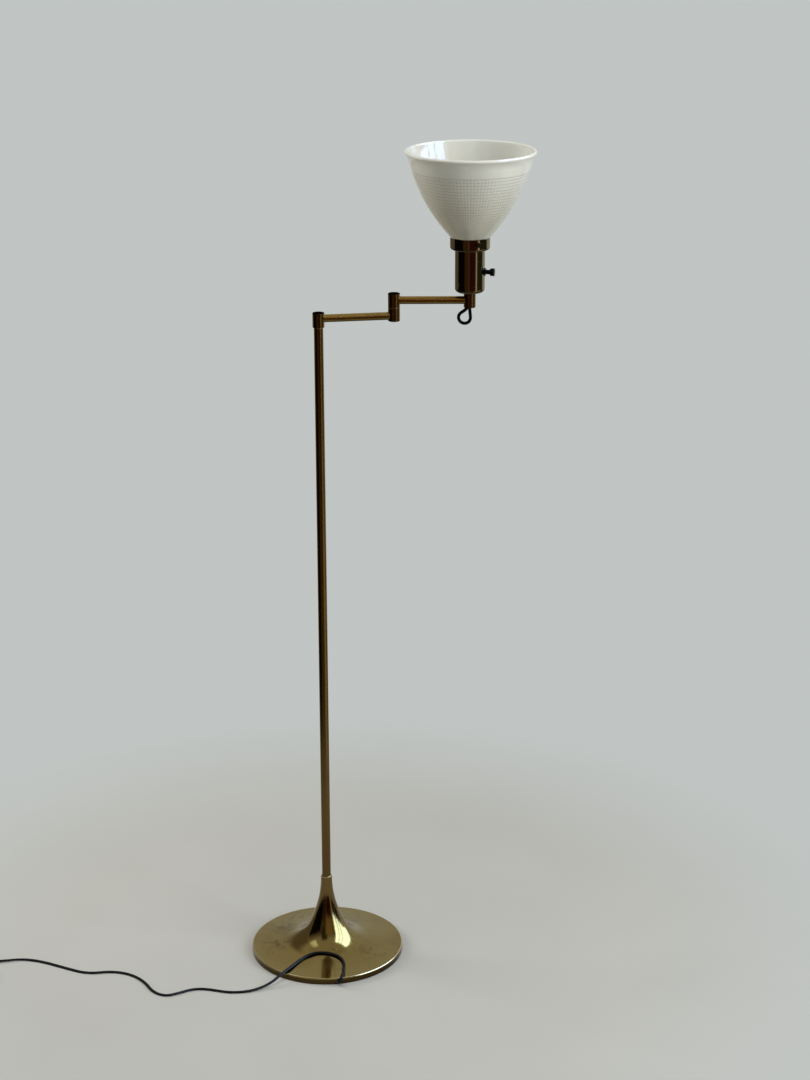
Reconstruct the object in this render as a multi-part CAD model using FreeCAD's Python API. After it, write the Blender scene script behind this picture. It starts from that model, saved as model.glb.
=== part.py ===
import FreeCAD, Part
import math
import os

# Swing-arm ("bridge") floor lamp: spun trumpet base, slim pole, two jointed arms that
# lie one above the other, and a switched lampholder that carries a milk-glass reflector.
# Millimetres and degrees. The origin is the middle of the base's underside, +Z is up and
# +X runs along the lower arm. The upper arm stands as it was left, a little off that line.

Vector = FreeCAD.Vector
UP = Vector(0, 0, 1)
os.makedirs("parts", exist_ok=True)

# ---- Fits ----
seat_gap = 0.05          # radial gap of a piece that is pushed, screwed or soldered in
running_gap = 0.06       # radial gap of a turning fit
free_gap = 0.4           # gap between pieces that pass or lie beside each other
flange_lift = 0.1        # flat flange off the round wall that it sits on

# ---- Base ----
base_radius = 127.0      # spun shell, over its rim
base_edge_height = 11.3  # where the dish meets the rounded rim
base_rim_rounding = 1.6
base_rim_lift = 0.6      # rim above the floor, because the felt stands proud
shell_wall = 1.2
dish_edge_angle = 86.8   # angles of the flare's tangent from the vertical
dish_knee_angle = 80.0
knee_arc = 60.0
flare_angle = 29.3
flare_arc = 178.0
neck_radius = 9.4
felt_thickness = 2.0
weight_edge_thickness = 7.2
weight_boss_radius = 24.0
weight_boss_height = 29.0
weight_recess_radius = 14.0
weight_recess_depth = 12.0
tie_pipe_radius = 4.9    # threaded lamp pipe
tie_pipe_bore = 3.4
tie_nut_flats = 15.0
tie_nut_height = 3.2
tie_washer_radius = 11.5
tie_washer_thickness = 1.0
pole_foot_length = 12.0
pole_spigot_length = 10.0

# ---- Pole ----
neck_ring_radius = 8.7
neck_ring_height = 3.2
pole_radius = 7.4
pole_wall = 1.0
pole_sunk = 10.0         # how far the pole stands down inside the trumpet's neck

# ---- Swivel knuckles and arms ----
lower_arm_height = 1095.3   # axis of the lower arm above the floor
lower_arm_length = 118.6    # pole axis to elbow axis
upper_arm_length = 117.8    # elbow axis to lampholder axis
upper_arm_rest_angle = -8.6
arm_radius = 6.2
arm_wall = 0.9
knuckle_radius = 9.4
knuckle_floor = 5.0
knuckle_chamber_radius = 7.6
knuckle_edge = 0.9
knuckle_cap_thickness = 1.6
knuckle_cap_crown = 0.5
knuckle_cap_spigot = 2.0
pole_knuckle_drop = 13.8    # lower arm's axis above the pole knuckle's underside
pole_knuckle_rise = 9.7     # and below its top
elbow_lower_drop = 8.6      # lower arm's axis above the elbow's underside
elbow_lower_rise = 13.6     # and below the seam
elbow_upper_drop = 10.6     # upper arm's axis above its half's underside
elbow_upper_rise = 11.6     # and below its top
end_knuckle_drop = 11.2
end_knuckle_rise = 11.2
end_knuckle_bore = 6.8
end_knuckle_top = 4.0
pivot_radius = 5.0
pivot_bore = 3.2
pivot_thread_end = 0.8      # thread showing past a pivot's nut
pivot_nut_flats = 11.0
pivot_nut_height = 2.4
pivot_washer_thickness = 0.6
seam_washer_inset = 0.5     # how far the seam's washer lies inside the knuckle's edge
seam_washer_thickness = 0.5
spindle_flange = 1.2
spindle_plug_length = 16.0

# ---- Lampholder ----
nipple_radius = 4.9
nipple_bore = 3.4
cup_washer_radius = 8.4
cup_washer_thickness = 1.8
cup_radius = 23.4
cup_wall = 0.9
cup_height = 67.4
cup_rounding = 6.0
cup_nut_flats = 15.0
cup_nut_height = 3.0
liner_wall = 0.5
liner_foot_gap = 7.0        # liner's foot above the cup's floor, clear of its rounded edge
socket_radius = 17.0
socket_rise = 5.5           # socket's rim above the cup's rim
socket_well_depth = 33.0
screw_shell_wall = 0.5
screw_shell_gap = 0.15      # bulb cap's thread crests inside the shell
screw_shell_lip = 2.5       # shell's top below the socket's rim
contact_width = 6.0
contact_reach = 6.5
contact_thickness = 0.5
contact_rise = 2.2
knob_height = 31.6          # switch axis above the cup's floor
knob_azimuth = -13.0        # from the upper arm's direction
switch_shaft_radius = 2.0
switch_shaft_inner = 5.0    # shaft's inner end from the lampholder's axis
switch_bushing_radius = 4.6
switch_flange_radius = 5.9
switch_flange_thickness = 1.5
knob_neck_radius = 3.6
knob_neck_length = 6.4
knob_head_radius = 6.0
knob_head_length = 7.2
knob_flutes = 12
knob_flute_radius = 0.7

# ---- Shade holder and reflector ----
holder_radius = 31.2
holder_wall = 0.9
holder_height = 19.5
holder_rounding = 4.0
ring_nut_radius = 21.5
ring_nut_height = 3.0
screw_azimuth = -70.3
screw_holes = 3
screws_fitted = 2           # the third hole, on the side away from the knob, has lost its screw
screw_drop = 7.0            # shade screws below the holder's rim
screw_radius = 1.6
screw_head_radius = 3.8
screw_head_length = 5.2
screw_knurls = 12
glass_wall = 3.0
fitter_radius = 28.6        # glass neck inside the holder
glass_foot_gap = 0.1        # glass neck's rounded rim above the holder's floor
shoulder_radius = 32.4
bowl_foot_radius = 34.0
bowl_foot_rise = 2.6        # bowl's foot above the holder's rim
bowl_foot_angle = 41.0      # bowl's tangent from the vertical, above the shoulder
bowl_lip_angle = 15.5       # and below the lip
bowl_arc = 294.0
lip_radius = 3.1
lip_overhang = 2.4          # lip's outermost edge past the wall under it
lip_rise = 13.7             # lip's centre above the bowl's arc

# ---- Bulb ----
bulb_cap_radius = 13.2
bulb_cap_height = 22.0
bulb_cap_threads = 4
bulb_thread_depth = 0.5
bulb_tip_radius = 4.5
bulb_tip_height = 1.2
bulb_neck_radius = 12.6
bulb_neck_length = 9.0
bulb_globe_radius = 30.0
bulb_globe_rise = 62.0      # globe's centre above the cap
bulb_wall = 0.8

# ---- Cord: flat twin lead, as a tube of its width ----
cord_radius = 2.6
cord_lift = 0.1          # kept between cord and floor
cord_exit_height = 5.6
cord_exit_azimuth = -88.0
grommet_radius = 3.9
grommet_flange_radius = 4.6
grommet_flange = 1.4
grommet_bore_gap = 0.1
channel_width = 8.0
channel_height = 6.4
inner_bend_radius = 5.2
lead_first_run = 6.1        # straight out of the grommet
coil_centre = Vector(-606.0, -8.5, 0)
coil_outer_radius = 43.0
coil_pitch = 5.7
coil_half_turns_in = 9
coil_half_turns_out = 8
coil_tail = 22.0
plug_width = 24.0
plug_length = 30.0
plug_relief_length = 22.0
plug_relief_radius = 4.6
plug_edge = 3.5
blade_spacing = 12.7
blade_width = 6.4
blade_thickness = 1.5
blade_length = 16.0

# Where the lead lies after it leaves the base's grommet: over the rim, round the dish, over the
# rim again, and along the floor to the coil. These points are chosen by hand.
lead_route = [
    (5.6, -138.4, 11.4), (6.8, -136.6, 17.6),
    (8.6, -130.8, 20.8), (11.2, -121.8, 20.4), (14.6, -106.0, 18.6), (17.2, -88.6, 18.4),
    (14.2, -73.6, 20.6), (4.6, -64.4, 23.2), (-10.6, -59.6, 25.2), (-28.6, -55.8, 24.8),
    (-45.8, -60.4, 21.4), (-60.2, -72.4, 19.2), (-74.6, -88.0, 19.8), (-89.6, -103.4, 17.8),
    (-104.4, -115.2, 9.6), (-124.0, -124.4, 4.2), (-148.6, -131.6, 2.9), (-179.6, -129.2, 2.7),
    (-212.4, -112.0, 2.7), (-236.2, -108.2, 2.7), (-262.4, -119.4, 2.7), (-283.4, -124.4, 2.7),
    (-302.4, -106.8, 2.7), (-313.2, -72.6, 2.7), (-334.6, -43.4, 2.7), (-366.8, -28.4, 2.7),
    (-406.4, -30.6, 2.7), (-441.2, -6.2, 2.7), (-482.6, 24.6, 2.7), (-516.4, 37.4, 2.7),
    (-548.2, 33.2, 2.7), (-576.8, 34.5, 2.7), (-600.8, 34.5, 2.7),
]

# The slack of lead that hangs in a loop under the lampholder's knuckle: along the arm,
# across it, and above the knuckle's underside.
loop_route = [
    (-2.6, 2.2, 8.4), (-2.8, 2.2, -1.6), (-9.2, 1.8, -6.7), (-16.1, 1.3, -11.0),
    (-17.7, 0.6, -17.4), (-14.8, -0.1, -23.4), (-8.6, -0.9, -26.2), (-2.1, -1.8, -24.3),
    (1.7, -2.6, -18.6), (0.6, -3.3, -9.0), (-0.2, -3.6, 0.4), (-0.2, -3.6, 7.6),
]

# ---- Heights that follow from the sizes above ----
knee_radius = neck_radius + flare_arc * (1 - math.cos(math.radians(flare_angle))) + knee_arc * (
    math.cos(math.radians(flare_angle)) - math.cos(math.radians(dish_knee_angle)))
dish_arc = (base_radius - base_rim_rounding - knee_radius) / (
    math.cos(math.radians(dish_knee_angle)) - math.cos(math.radians(dish_edge_angle)))
knee_height = base_edge_height + dish_arc * (
    math.sin(math.radians(dish_edge_angle)) - math.sin(math.radians(dish_knee_angle)))
flare_height = knee_height + knee_arc * (
    math.sin(math.radians(dish_knee_angle)) - math.sin(math.radians(flare_angle)))
neck_height = flare_height + flare_arc * math.sin(math.radians(flare_angle))
pole_bottom = neck_height - pole_sunk
pole_foot_bottom = pole_bottom - pole_foot_length
recess_top = felt_thickness + weight_recess_depth
tie_nut_top = recess_top - tie_washer_thickness
tie_pipe_bottom = tie_nut_top - tie_nut_height - pivot_thread_end
pole_knuckle_bottom = lower_arm_height - pole_knuckle_drop
pole_knuckle_top = lower_arm_height + pole_knuckle_rise
pole_top = pole_knuckle_bottom - seam_washer_thickness - spindle_flange
elbow_bottom = lower_arm_height - elbow_lower_drop
elbow_seam = lower_arm_height + elbow_lower_rise
elbow_upper_bottom = elbow_seam + seam_washer_thickness
upper_arm_height = elbow_upper_bottom + elbow_upper_drop
elbow_top = upper_arm_height + elbow_upper_rise
end_knuckle_bottom = upper_arm_height - end_knuckle_drop
end_knuckle_height = upper_arm_height + end_knuckle_rise
cup_bottom = end_knuckle_height + cup_washer_thickness
cup_floor = cup_bottom + cup_wall
cup_top = cup_bottom + cup_height
nipple_bottom = end_knuckle_height - end_knuckle_top
cup_nut_top = cup_floor + cup_nut_height
socket_bottom = cup_nut_top + free_gap
nipple_top = socket_bottom + cup_nut_height
socket_top = cup_top + socket_rise
socket_well_floor = socket_top - socket_well_depth
knob_axis_height = cup_floor + knob_height
holder_floor = cup_top + holder_wall
holder_top = cup_top + holder_height
screw_height = holder_top - screw_drop
bulb_tip_bottom = socket_well_floor + contact_rise + seat_gap
bulb_cap_bottom = bulb_tip_bottom + bulb_tip_height
bulb_cap_top = bulb_cap_bottom + bulb_cap_height
screw_shell_radius = bulb_cap_radius + screw_shell_gap + screw_shell_wall
socket_well_radius = screw_shell_radius + seat_gap
pivot_bore_radius = pivot_radius + running_gap
bore_seat_radius = pivot_radius + seat_gap
arm_bore = arm_radius - arm_wall
pole_bore = pole_radius - pole_wall
cup_bore = cup_radius - cup_wall
coil_low = cord_radius + cord_lift


# ---- Shaping helpers ----
def in_section(radius, height):
    return Vector(radius, 0, height)


def line(start, end):
    return Part.LineSegment(in_section(*start), in_section(*end)).toShape()


def arc_about(centre, radius, start_angle, end_angle):
    """Arc whose points lie at centre - radius * (cos a, sin a), angles in degrees."""
    angles = [start_angle, (start_angle + end_angle) / 2, end_angle]
    points = []
    for angle in angles:
        turn = math.radians(angle)
        points.append((centre[0] - radius * math.cos(turn), centre[1] - radius * math.sin(turn)))
    arc = Part.Arc(*[in_section(*point) for point in points]).toShape()
    return arc.toNurbs().Edges[0], points[0], points[2]


def rounded_edges(corners):
    """Closed run of edges through (x, z) or (x, z, rounding) corners in the XZ plane."""
    entries = []
    exits = []
    arcs = []
    count = len(corners)
    for index, corner in enumerate(corners):
        here = in_section(corner[0], corner[1])
        before = in_section(*corners[index - 1][:2])
        after = in_section(*corners[(index + 1) % count][:2])
        rounding = corner[2] if len(corner) > 2 else 0.0
        if rounding == 0.0:
            entries.append(here)
            exits.append(here)
            arcs.append(None)
            continue
        back = (before - here).normalize()
        ahead = (after - here).normalize()
        half = back.getAngle(ahead) / 2
        reach = rounding / math.tan(half)
        middle_way = (back + ahead).normalize()
        middle = here + middle_way * (rounding / math.sin(half) - rounding)
        entries.append(here + back * reach)
        exits.append(here + ahead * reach)
        arcs.append(Part.Arc(entries[-1], middle, exits[-1]).toShape())
    edges = []
    for index in range(count):
        if arcs[index] is not None:
            edges.append(arcs[index])
        start = exits[index]
        end = entries[(index + 1) % count]
        if (end - start).Length > 1e-6:
            edges.append(Part.LineSegment(start, end).toShape())
    return edges


def face_of(edges):
    return Part.Face(Part.Wire(Part.__sortEdges__(edges)))


def outward(shape):
    """The same solid with its faces pointing out."""
    solid = shape.Solids[0] if shape.Solids else Part.Solid(shape.Shells[0])
    if solid.Volume < 0:
        solid.reverse()
    return solid


def turned_edges(edges):
    return outward(face_of(edges).revolve(Vector(0, 0, 0), UP, 360))


def turned(corners):
    """Solid of revolution about the Z axis."""
    return turned_edges(rounded_edges(corners))


def tube(outer, inner, bottom, top, rounding=0.0):
    if rounding == 0.0:
        return turned([(inner, bottom), (outer, bottom), (outer, top), (inner, top)])
    return turned([(inner, bottom), (outer, bottom, rounding), (outer, top, rounding), (inner, top)])


def rod(radius, start, end):
    """Round bar between two points."""
    way = end - start
    return Part.makeCylinder(radius, way.Length, start, way)


def hex_nut(flats, bore, bottom, height):
    corner = flats / math.sqrt(3)
    points = []
    for side in range(7):
        angle = math.radians(60 * side)
        points.append(Vector(corner * math.cos(angle), corner * math.sin(angle), bottom))
    blank = Part.Face(Part.makePolygon(points)).extrude(UP * height)
    return blank.cut(rod(bore, Vector(0, 0, bottom - 1), Vector(0, 0, bottom + height + 1)))


def ray(azimuth, radius, height):
    """Point at a radius and azimuth about the Z axis."""
    angle = math.radians(azimuth)
    return Vector(radius * math.cos(angle), radius * math.sin(angle), height)


def on_elbow(shape):
    """Carries a piece drawn about the elbow's axis, arm along +X, to its place at rest."""
    turn = FreeCAD.Rotation(UP, upper_arm_rest_angle)
    placed = shape.copy()
    placed.Placement = FreeCAD.Placement(Vector(lower_arm_length, 0, 0), turn).multiply(placed.Placement)
    return placed


def on_head(shape):
    """Carries a piece drawn about the lampholder's axis to its place at rest."""
    placed = shape.copy()
    placed.translate(Vector(upper_arm_length, 0, 0))
    return on_elbow(placed)


# ---- Base ----
def flare_edges(offset):
    """Three tangent arcs of the trumpet, from neck to dish, moved in by offset."""
    first_centre = (neck_radius + flare_arc, neck_height)
    first, top, join = arc_about(first_centre, flare_arc + offset, 0, flare_angle)
    way = math.radians(flare_angle)
    second_centre = (
        first_centre[0] + (knee_arc - flare_arc) * math.cos(way),
        first_centre[1] + (knee_arc - flare_arc) * math.sin(way))
    second, join, knee = arc_about(second_centre, knee_arc + offset, flare_angle, dish_knee_angle)
    way = math.radians(dish_knee_angle)
    third_centre = (
        second_centre[0] + (dish_arc - knee_arc) * math.cos(way),
        second_centre[1] + (dish_arc - knee_arc) * math.sin(way))
    third, knee, edge = arc_about(third_centre, dish_arc + offset, dish_knee_angle, dish_edge_angle)
    return [first, second, third], top, edge


def exit_hole(radius, start_radius, end_radius):
    return rod(radius, ray(cord_exit_azimuth, start_radius, cord_exit_height),
               ray(cord_exit_azimuth, end_radius, cord_exit_height))


def base_shell():
    outer, outer_top, outer_edge = flare_edges(0)
    inner, inner_top, inner_edge = flare_edges(shell_wall)
    rim_inner = base_radius - shell_wall
    rim_turn = base_edge_height - base_rim_rounding
    slant = base_rim_rounding * (1 - math.sqrt(0.5))
    rim = Part.Arc(in_section(*outer_edge), in_section(base_radius - slant, base_edge_height - slant),
                   in_section(base_radius, rim_turn)).toShape()
    edges = outer + inner + [
        rim,
        line((base_radius, rim_turn), (base_radius, base_rim_lift)),
        line((base_radius, base_rim_lift), (rim_inner, base_rim_lift)),
        line((rim_inner, base_rim_lift), (rim_inner, rim_turn)),
        line((rim_inner, rim_turn), inner_edge),
        line(inner_top, outer_top),
    ]
    shell = turned_edges(edges)
    hole = grommet_radius + seat_gap
    return shell.cut(exit_hole(hole, base_radius - 5 * shell_wall, base_radius + shell_wall))


def base_weight():
    bottom = felt_thickness
    edge_radius = base_radius - shell_wall - 2 * free_gap
    bore = tie_pipe_radius + seat_gap
    casting = turned([
        (bore, recess_top), (weight_recess_radius, recess_top),
        (weight_recess_radius, bottom), (edge_radius, bottom, 0.6),
        (edge_radius, bottom + weight_edge_thickness, 1.0),
        (0.6 * edge_radius, bottom + weight_edge_thickness + 4.0, 8.0),
        (weight_boss_radius + 14.0, bottom + 0.5 * weight_boss_height, 6.0),
        (weight_boss_radius, bottom + weight_boss_height, 2.0),
        (bore, bottom + weight_boss_height)])
    channel = Part.makeBox(base_radius, channel_width, channel_height + bottom,
                           Vector(0, -channel_width / 2, 0))
    channel.rotate(Vector(0, 0, 0), UP, cord_exit_azimuth)
    return casting.cut(channel)


def base_felt():
    return turned([(0, 0), (base_radius - shell_wall - free_gap, 0),
                   (base_radius - shell_wall - free_gap, felt_thickness), (0, felt_thickness)])


def tie_pipe():
    return tube(tie_pipe_radius, tie_pipe_bore, tie_pipe_bottom, pole_bottom + pole_spigot_length)


def tie_washer():
    return tube(tie_washer_radius, tie_pipe_radius + seat_gap, tie_nut_top, recess_top)


def tie_nut():
    return hex_nut(tie_nut_flats, tie_pipe_radius + seat_gap, tie_nut_top - tie_nut_height, tie_nut_height)


def pole_foot():
    """Turned bush inside the trumpet's neck that the pole stands on."""
    neck_bore = neck_radius - shell_wall - seat_gap
    return turned([
        (tie_pipe_radius + seat_gap, pole_foot_bottom), (neck_bore, pole_foot_bottom, 1.0),
        (neck_bore, pole_bottom), (pole_bore - seat_gap, pole_bottom),
        (pole_bore - seat_gap, pole_bottom + pole_spigot_length, 0.6),
        (tie_pipe_radius + seat_gap, pole_bottom + pole_spigot_length)])


def neck_ring():
    return tube(neck_ring_radius, pole_radius + seat_gap, neck_height,
                neck_height + neck_ring_height, 0.5)


def cord_grommet():
    sleeve_in = base_radius - shell_wall - free_gap / 2
    flange_in = base_radius + flange_lift
    flange_out = flange_in + grommet_flange
    bore = cord_radius + grommet_bore_gap
    sleeve = exit_hole(grommet_radius, sleeve_in, flange_in)
    flange = exit_hole(grommet_flange_radius, flange_in, flange_out)
    return outward(sleeve.fuse(flange).cut(exit_hole(bore, sleeve_in - 1, flange_out + 1)).removeSplitter())


# ---- Pole and its swivel ----
def pole():
    return tube(pole_radius, pole_bore, pole_bottom, pole_top)


def pole_spindle():
    """Plug soldered in the pole's top, with a flange and a hollow threaded journal."""
    nut_top = pole_knuckle_bottom + knuckle_floor + pivot_washer_thickness + pivot_nut_height
    plug = pole_bore - seat_gap
    return turned([
        (pivot_bore, pole_top - spindle_plug_length), (plug, pole_top - spindle_plug_length, 0.5),
        (plug, pole_top), (pole_radius, pole_top), (pole_radius, pole_top + spindle_flange, 0.3),
        (pivot_radius, pole_top + spindle_flange), (pivot_radius, nut_top + pivot_thread_end),
        (pivot_bore, nut_top + pivot_thread_end)])


def seam_washer(bottom, radius):
    return tube(radius, bore_seat_radius, bottom, bottom + seam_washer_thickness)


def pivot_washer(bottom):
    return tube(knuckle_chamber_radius - free_gap, bore_seat_radius, bottom,
                bottom + pivot_washer_thickness)


def pivot_nut(bottom):
    return hex_nut(pivot_nut_flats, bore_seat_radius, bottom, pivot_nut_height)


# ---- Knuckles ----
def knuckle(floor_z, end_z, arm_z, arm_side, floor_bore):
    """Hollow swivel half: bored floor at floor_z, open end for a cap, hole towards the arm."""
    up = 1 if end_z > floor_z else -1
    open_z = end_z - up * knuckle_cap_thickness
    inside_z = floor_z + up * knuckle_floor
    body = turned([
        (floor_bore, floor_z), (knuckle_radius, floor_z, knuckle_edge / 2),
        (knuckle_radius, open_z), (knuckle_chamber_radius, open_z),
        (knuckle_chamber_radius, inside_z), (floor_bore, inside_z)])
    wire_way = rod(arm_bore, Vector(0, 0, arm_z), Vector(arm_side * 2 * knuckle_radius, 0, arm_z))
    return outward(body.cut(wire_way))


def knuckle_cap(end_z, up):
    """Domed cap pushed into a knuckle's open end."""
    open_z = end_z - up * knuckle_cap_thickness
    spigot = knuckle_chamber_radius - seat_gap
    return turned([
        (0, open_z - up * knuckle_cap_spigot), (spigot, open_z - up * knuckle_cap_spigot, 0.4),
        (spigot, open_z), (knuckle_radius, open_z),
        (knuckle_radius, end_z - up * knuckle_cap_crown, knuckle_edge), (0, end_z)])


def end_knuckle():
    """Knuckle under the lampholder: open below for the lead, tapped above for the nipple."""
    body = turned([
        (end_knuckle_bore, end_knuckle_bottom), (knuckle_radius, end_knuckle_bottom, knuckle_edge / 2),
        (knuckle_radius, end_knuckle_height, knuckle_edge / 2),
        (nipple_radius + seat_gap, end_knuckle_height), (nipple_radius + seat_gap, nipple_bottom),
        (end_knuckle_bore, nipple_bottom)])
    wire_way = rod(arm_bore, Vector(0, 0, upper_arm_height), Vector(-2 * knuckle_radius, 0, upper_arm_height))
    return outward(body.cut(wire_way))


def arm(length, height):
    """Arm tube along +X, hollowed at both ends to sit on the knuckles' round sides."""
    bar = rod(arm_radius, Vector(0, 0, height), Vector(length, 0, height))
    bar = bar.cut(rod(arm_bore, Vector(-1, 0, height), Vector(length + 1, 0, height)))
    reach = 2 * arm_radius
    for x in (0, length):
        cope = rod(knuckle_radius + seat_gap, Vector(x, 0, height - reach), Vector(x, 0, height + reach))
        bar = bar.cut(cope)
    return outward(bar)


def elbow_pivot():
    """Hollow threaded pivot that holds the elbow's halves together."""
    bottom = elbow_seam - knuckle_floor - pivot_nut_height - pivot_thread_end
    top = elbow_upper_bottom + knuckle_floor + pivot_washer_thickness + pivot_nut_height + pivot_thread_end
    return tube(pivot_radius, pivot_bore, bottom, top)


# ---- Lampholder ----
def nipple():
    return tube(nipple_radius, nipple_bore, nipple_bottom, nipple_top)


def cup_washer():
    return tube(cup_washer_radius, nipple_radius + seat_gap, end_knuckle_height, cup_bottom)


def cup_nut():
    return hex_nut(cup_nut_flats, nipple_radius + seat_gap, cup_floor, cup_nut_height)


def knob_bore(radius, start_radius, end_radius):
    return rod(radius, ray(knob_azimuth, start_radius, knob_axis_height),
               ray(knob_azimuth, end_radius, knob_axis_height))


def socket_cup():
    """Drawn brass cup round the socket."""
    inner_rounding = cup_rounding - cup_wall
    hole = nipple_radius + seat_gap
    cup = turned([
        (hole, cup_bottom), (cup_radius, cup_bottom, cup_rounding), (cup_radius, cup_top, 0.4),
        (cup_bore, cup_top), (cup_bore, cup_floor, inner_rounding), (hole, cup_floor)])
    return outward(cup.cut(knob_bore(switch_bushing_radius + seat_gap, 0, 2 * cup_radius)))


def insulating_liner():
    outer = cup_bore - seat_gap
    liner = tube(outer, outer - liner_wall, cup_floor + liner_foot_gap, cup_top - free_gap)
    return outward(liner.cut(knob_bore(switch_bushing_radius + seat_gap, 0, 2 * cup_radius)))


def socket_body():
    """Moulded socket: switch block below, well for the screw shell above."""
    body = turned([
        (nipple_radius + seat_gap, socket_bottom), (socket_radius, socket_bottom, 3.0),
        (socket_radius, socket_top), (socket_well_radius, socket_top),
        (socket_well_radius, socket_well_floor), (0, socket_well_floor),
        (0, nipple_top + free_gap), (nipple_radius + seat_gap, nipple_top + free_gap)])
    shaft_hole = knob_bore(switch_shaft_radius + running_gap, switch_shaft_inner - free_gap, 2 * socket_radius)
    return outward(body.cut(shaft_hole))


def screw_shell():
    bore = screw_shell_radius - screw_shell_wall
    top = socket_top - screw_shell_lip
    return turned([
        (bulb_tip_radius + 4.0, socket_well_floor), (screw_shell_radius, socket_well_floor, 0.6),
        (screw_shell_radius, top), (bore, top), (bore, socket_well_floor + screw_shell_wall),
        (bulb_tip_radius + 4.0, socket_well_floor + screw_shell_wall)])


def centre_contact():
    """Springy brass tongue: a flat foot whose end is bent up and back under the bulb's tip."""
    skin = contact_thickness
    bend = contact_rise / 2
    outline = [
        (-contact_reach, 0), (0.4 * contact_reach, 0), (contact_reach + skin, bend),
        (-skin, contact_rise), (-skin, contact_rise - skin), (contact_reach - 2 * skin, bend),
        (0.4 * contact_reach - skin, skin), (-contact_reach, skin)]
    strip = face_of(rounded_edges(outline)).extrude(Vector(0, contact_width, 0))
    strip.translate(Vector(0, -contact_width / 2, socket_well_floor))
    return outward(strip)


switch_flange_end = cup_radius + flange_lift + switch_flange_thickness
knob_inner = switch_flange_end + free_gap
knob_outer = knob_inner + knob_neck_length + knob_head_length


def switch_bushing():
    """Threaded collar of the switch, through the cup's wall, with its flange outside."""
    sleeve = knob_bore(switch_bushing_radius, socket_radius + free_gap, cup_radius + flange_lift)
    flange = knob_bore(switch_flange_radius, cup_radius + flange_lift, switch_flange_end)
    bore = knob_bore(switch_shaft_radius + running_gap, 0, 2 * cup_radius)
    return outward(sleeve.fuse(flange).cut(bore).removeSplitter())


def switch_shaft():
    return knob_bore(switch_shaft_radius, switch_shaft_inner, knob_inner + 0.6 * knob_neck_length)


def switch_knob():
    """Moulded knob: slim neck that flares into a fluted head, bored for its shaft."""
    flare = knob_neck_length + 1.2
    length = knob_neck_length + knob_head_length
    blank = turned([
        (0, 0), (knob_neck_radius, 0), (knob_neck_radius, knob_neck_length - 1.0, 1.0),
        (knob_head_radius, flare, 0.8), (knob_head_radius, length, 0.8), (0, length)])
    pitch_radius = knob_head_radius + 0.35 * knob_flute_radius
    for index in range(knob_flutes):
        place = ray(360.0 / knob_flutes * index, pitch_radius, knob_neck_length)
        blank = blank.cut(rod(knob_flute_radius, place, place + UP * (2 * length)))
    blank = blank.cut(rod(switch_shaft_radius + seat_gap, Vector(0, 0, -1),
                          Vector(0, 0, 0.6 * knob_neck_length + seat_gap)))
    blank = outward(blank)
    blank.rotate(Vector(0, 0, 0), Vector(0, 1, 0), 90)
    blank.translate(Vector(knob_inner, 0, knob_axis_height))
    blank.rotate(Vector(0, 0, 0), UP, knob_azimuth)
    return blank


# ---- Shade holder, reflector and bulb ----
def shade_holder():
    hole = socket_radius + seat_gap
    holder = turned([
        (hole, cup_top), (holder_radius, cup_top, holder_rounding), (holder_radius, holder_top, 0.4),
        (holder_radius - holder_wall, holder_top),
        (holder_radius - holder_wall, holder_floor, holder_rounding - holder_wall),
        (hole, holder_floor)])
    for azimuth in screw_azimuths():
        holder = holder.cut(rod(screw_radius + seat_gap, ray(azimuth, fitter_radius, screw_height),
                                ray(azimuth, 2 * holder_radius, screw_height)))
    return outward(holder)


def screw_azimuths():
    return [screw_azimuth + 360.0 / screw_holes * index for index in range(screw_holes)]


def shade_screw(azimuth):
    """Thumb screw with a knurled head; its tip bears on the glass neck."""
    tip = fitter_radius + 0.1
    head = holder_radius + free_gap
    blank = turned([
        (0, tip), (screw_radius, tip, 0.3), (screw_radius, head), (screw_head_radius, head, 0.4),
        (screw_head_radius, head + screw_head_length, 0.4), (0, head + screw_head_length)])
    for index in range(screw_knurls):
        place = ray(360.0 / screw_knurls * index, screw_head_radius + 0.15, head)
        blank = blank.cut(rod(0.4, place, place + UP * (2 * screw_head_length)))
    blank = outward(blank)
    blank.rotate(Vector(0, 0, 0), Vector(0, 1, 0), 90)
    blank.translate(Vector(0, 0, screw_height))
    blank.rotate(Vector(0, 0, 0), UP, azimuth)
    return blank


def ring_nut():
    """Threaded ring that clamps the shade holder's floor on the cup's rim."""
    return tube(ring_nut_radius, socket_radius + seat_gap, holder_floor,
                holder_floor + ring_nut_height, 0.5)


# The bowl's arc bulges outwards, so its points lie at centre + radius * (cos, sin).
bowl_foot_height = holder_top + bowl_foot_rise
bowl_centre = (bowl_foot_radius - bowl_arc * math.cos(math.radians(bowl_foot_angle)),
               bowl_foot_height + bowl_arc * math.sin(math.radians(bowl_foot_angle)))


def bowl_arc_edge(inset):
    return arc_about(bowl_centre, inset - bowl_arc, -bowl_foot_angle, -bowl_lip_angle)


bowl_top = (bowl_centre[0] + bowl_arc * math.cos(math.radians(bowl_lip_angle)),
            bowl_centre[1] - bowl_arc * math.sin(math.radians(bowl_lip_angle)))
lip_centre_height = bowl_top[1] + lip_rise
lip_centre_radius = bowl_top[0] + lip_rise * math.tan(math.radians(bowl_lip_angle)) + lip_overhang - lip_radius
glass_rim_radius = lip_centre_radius + lip_radius
glass_rim_height = lip_centre_height + lip_radius


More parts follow.
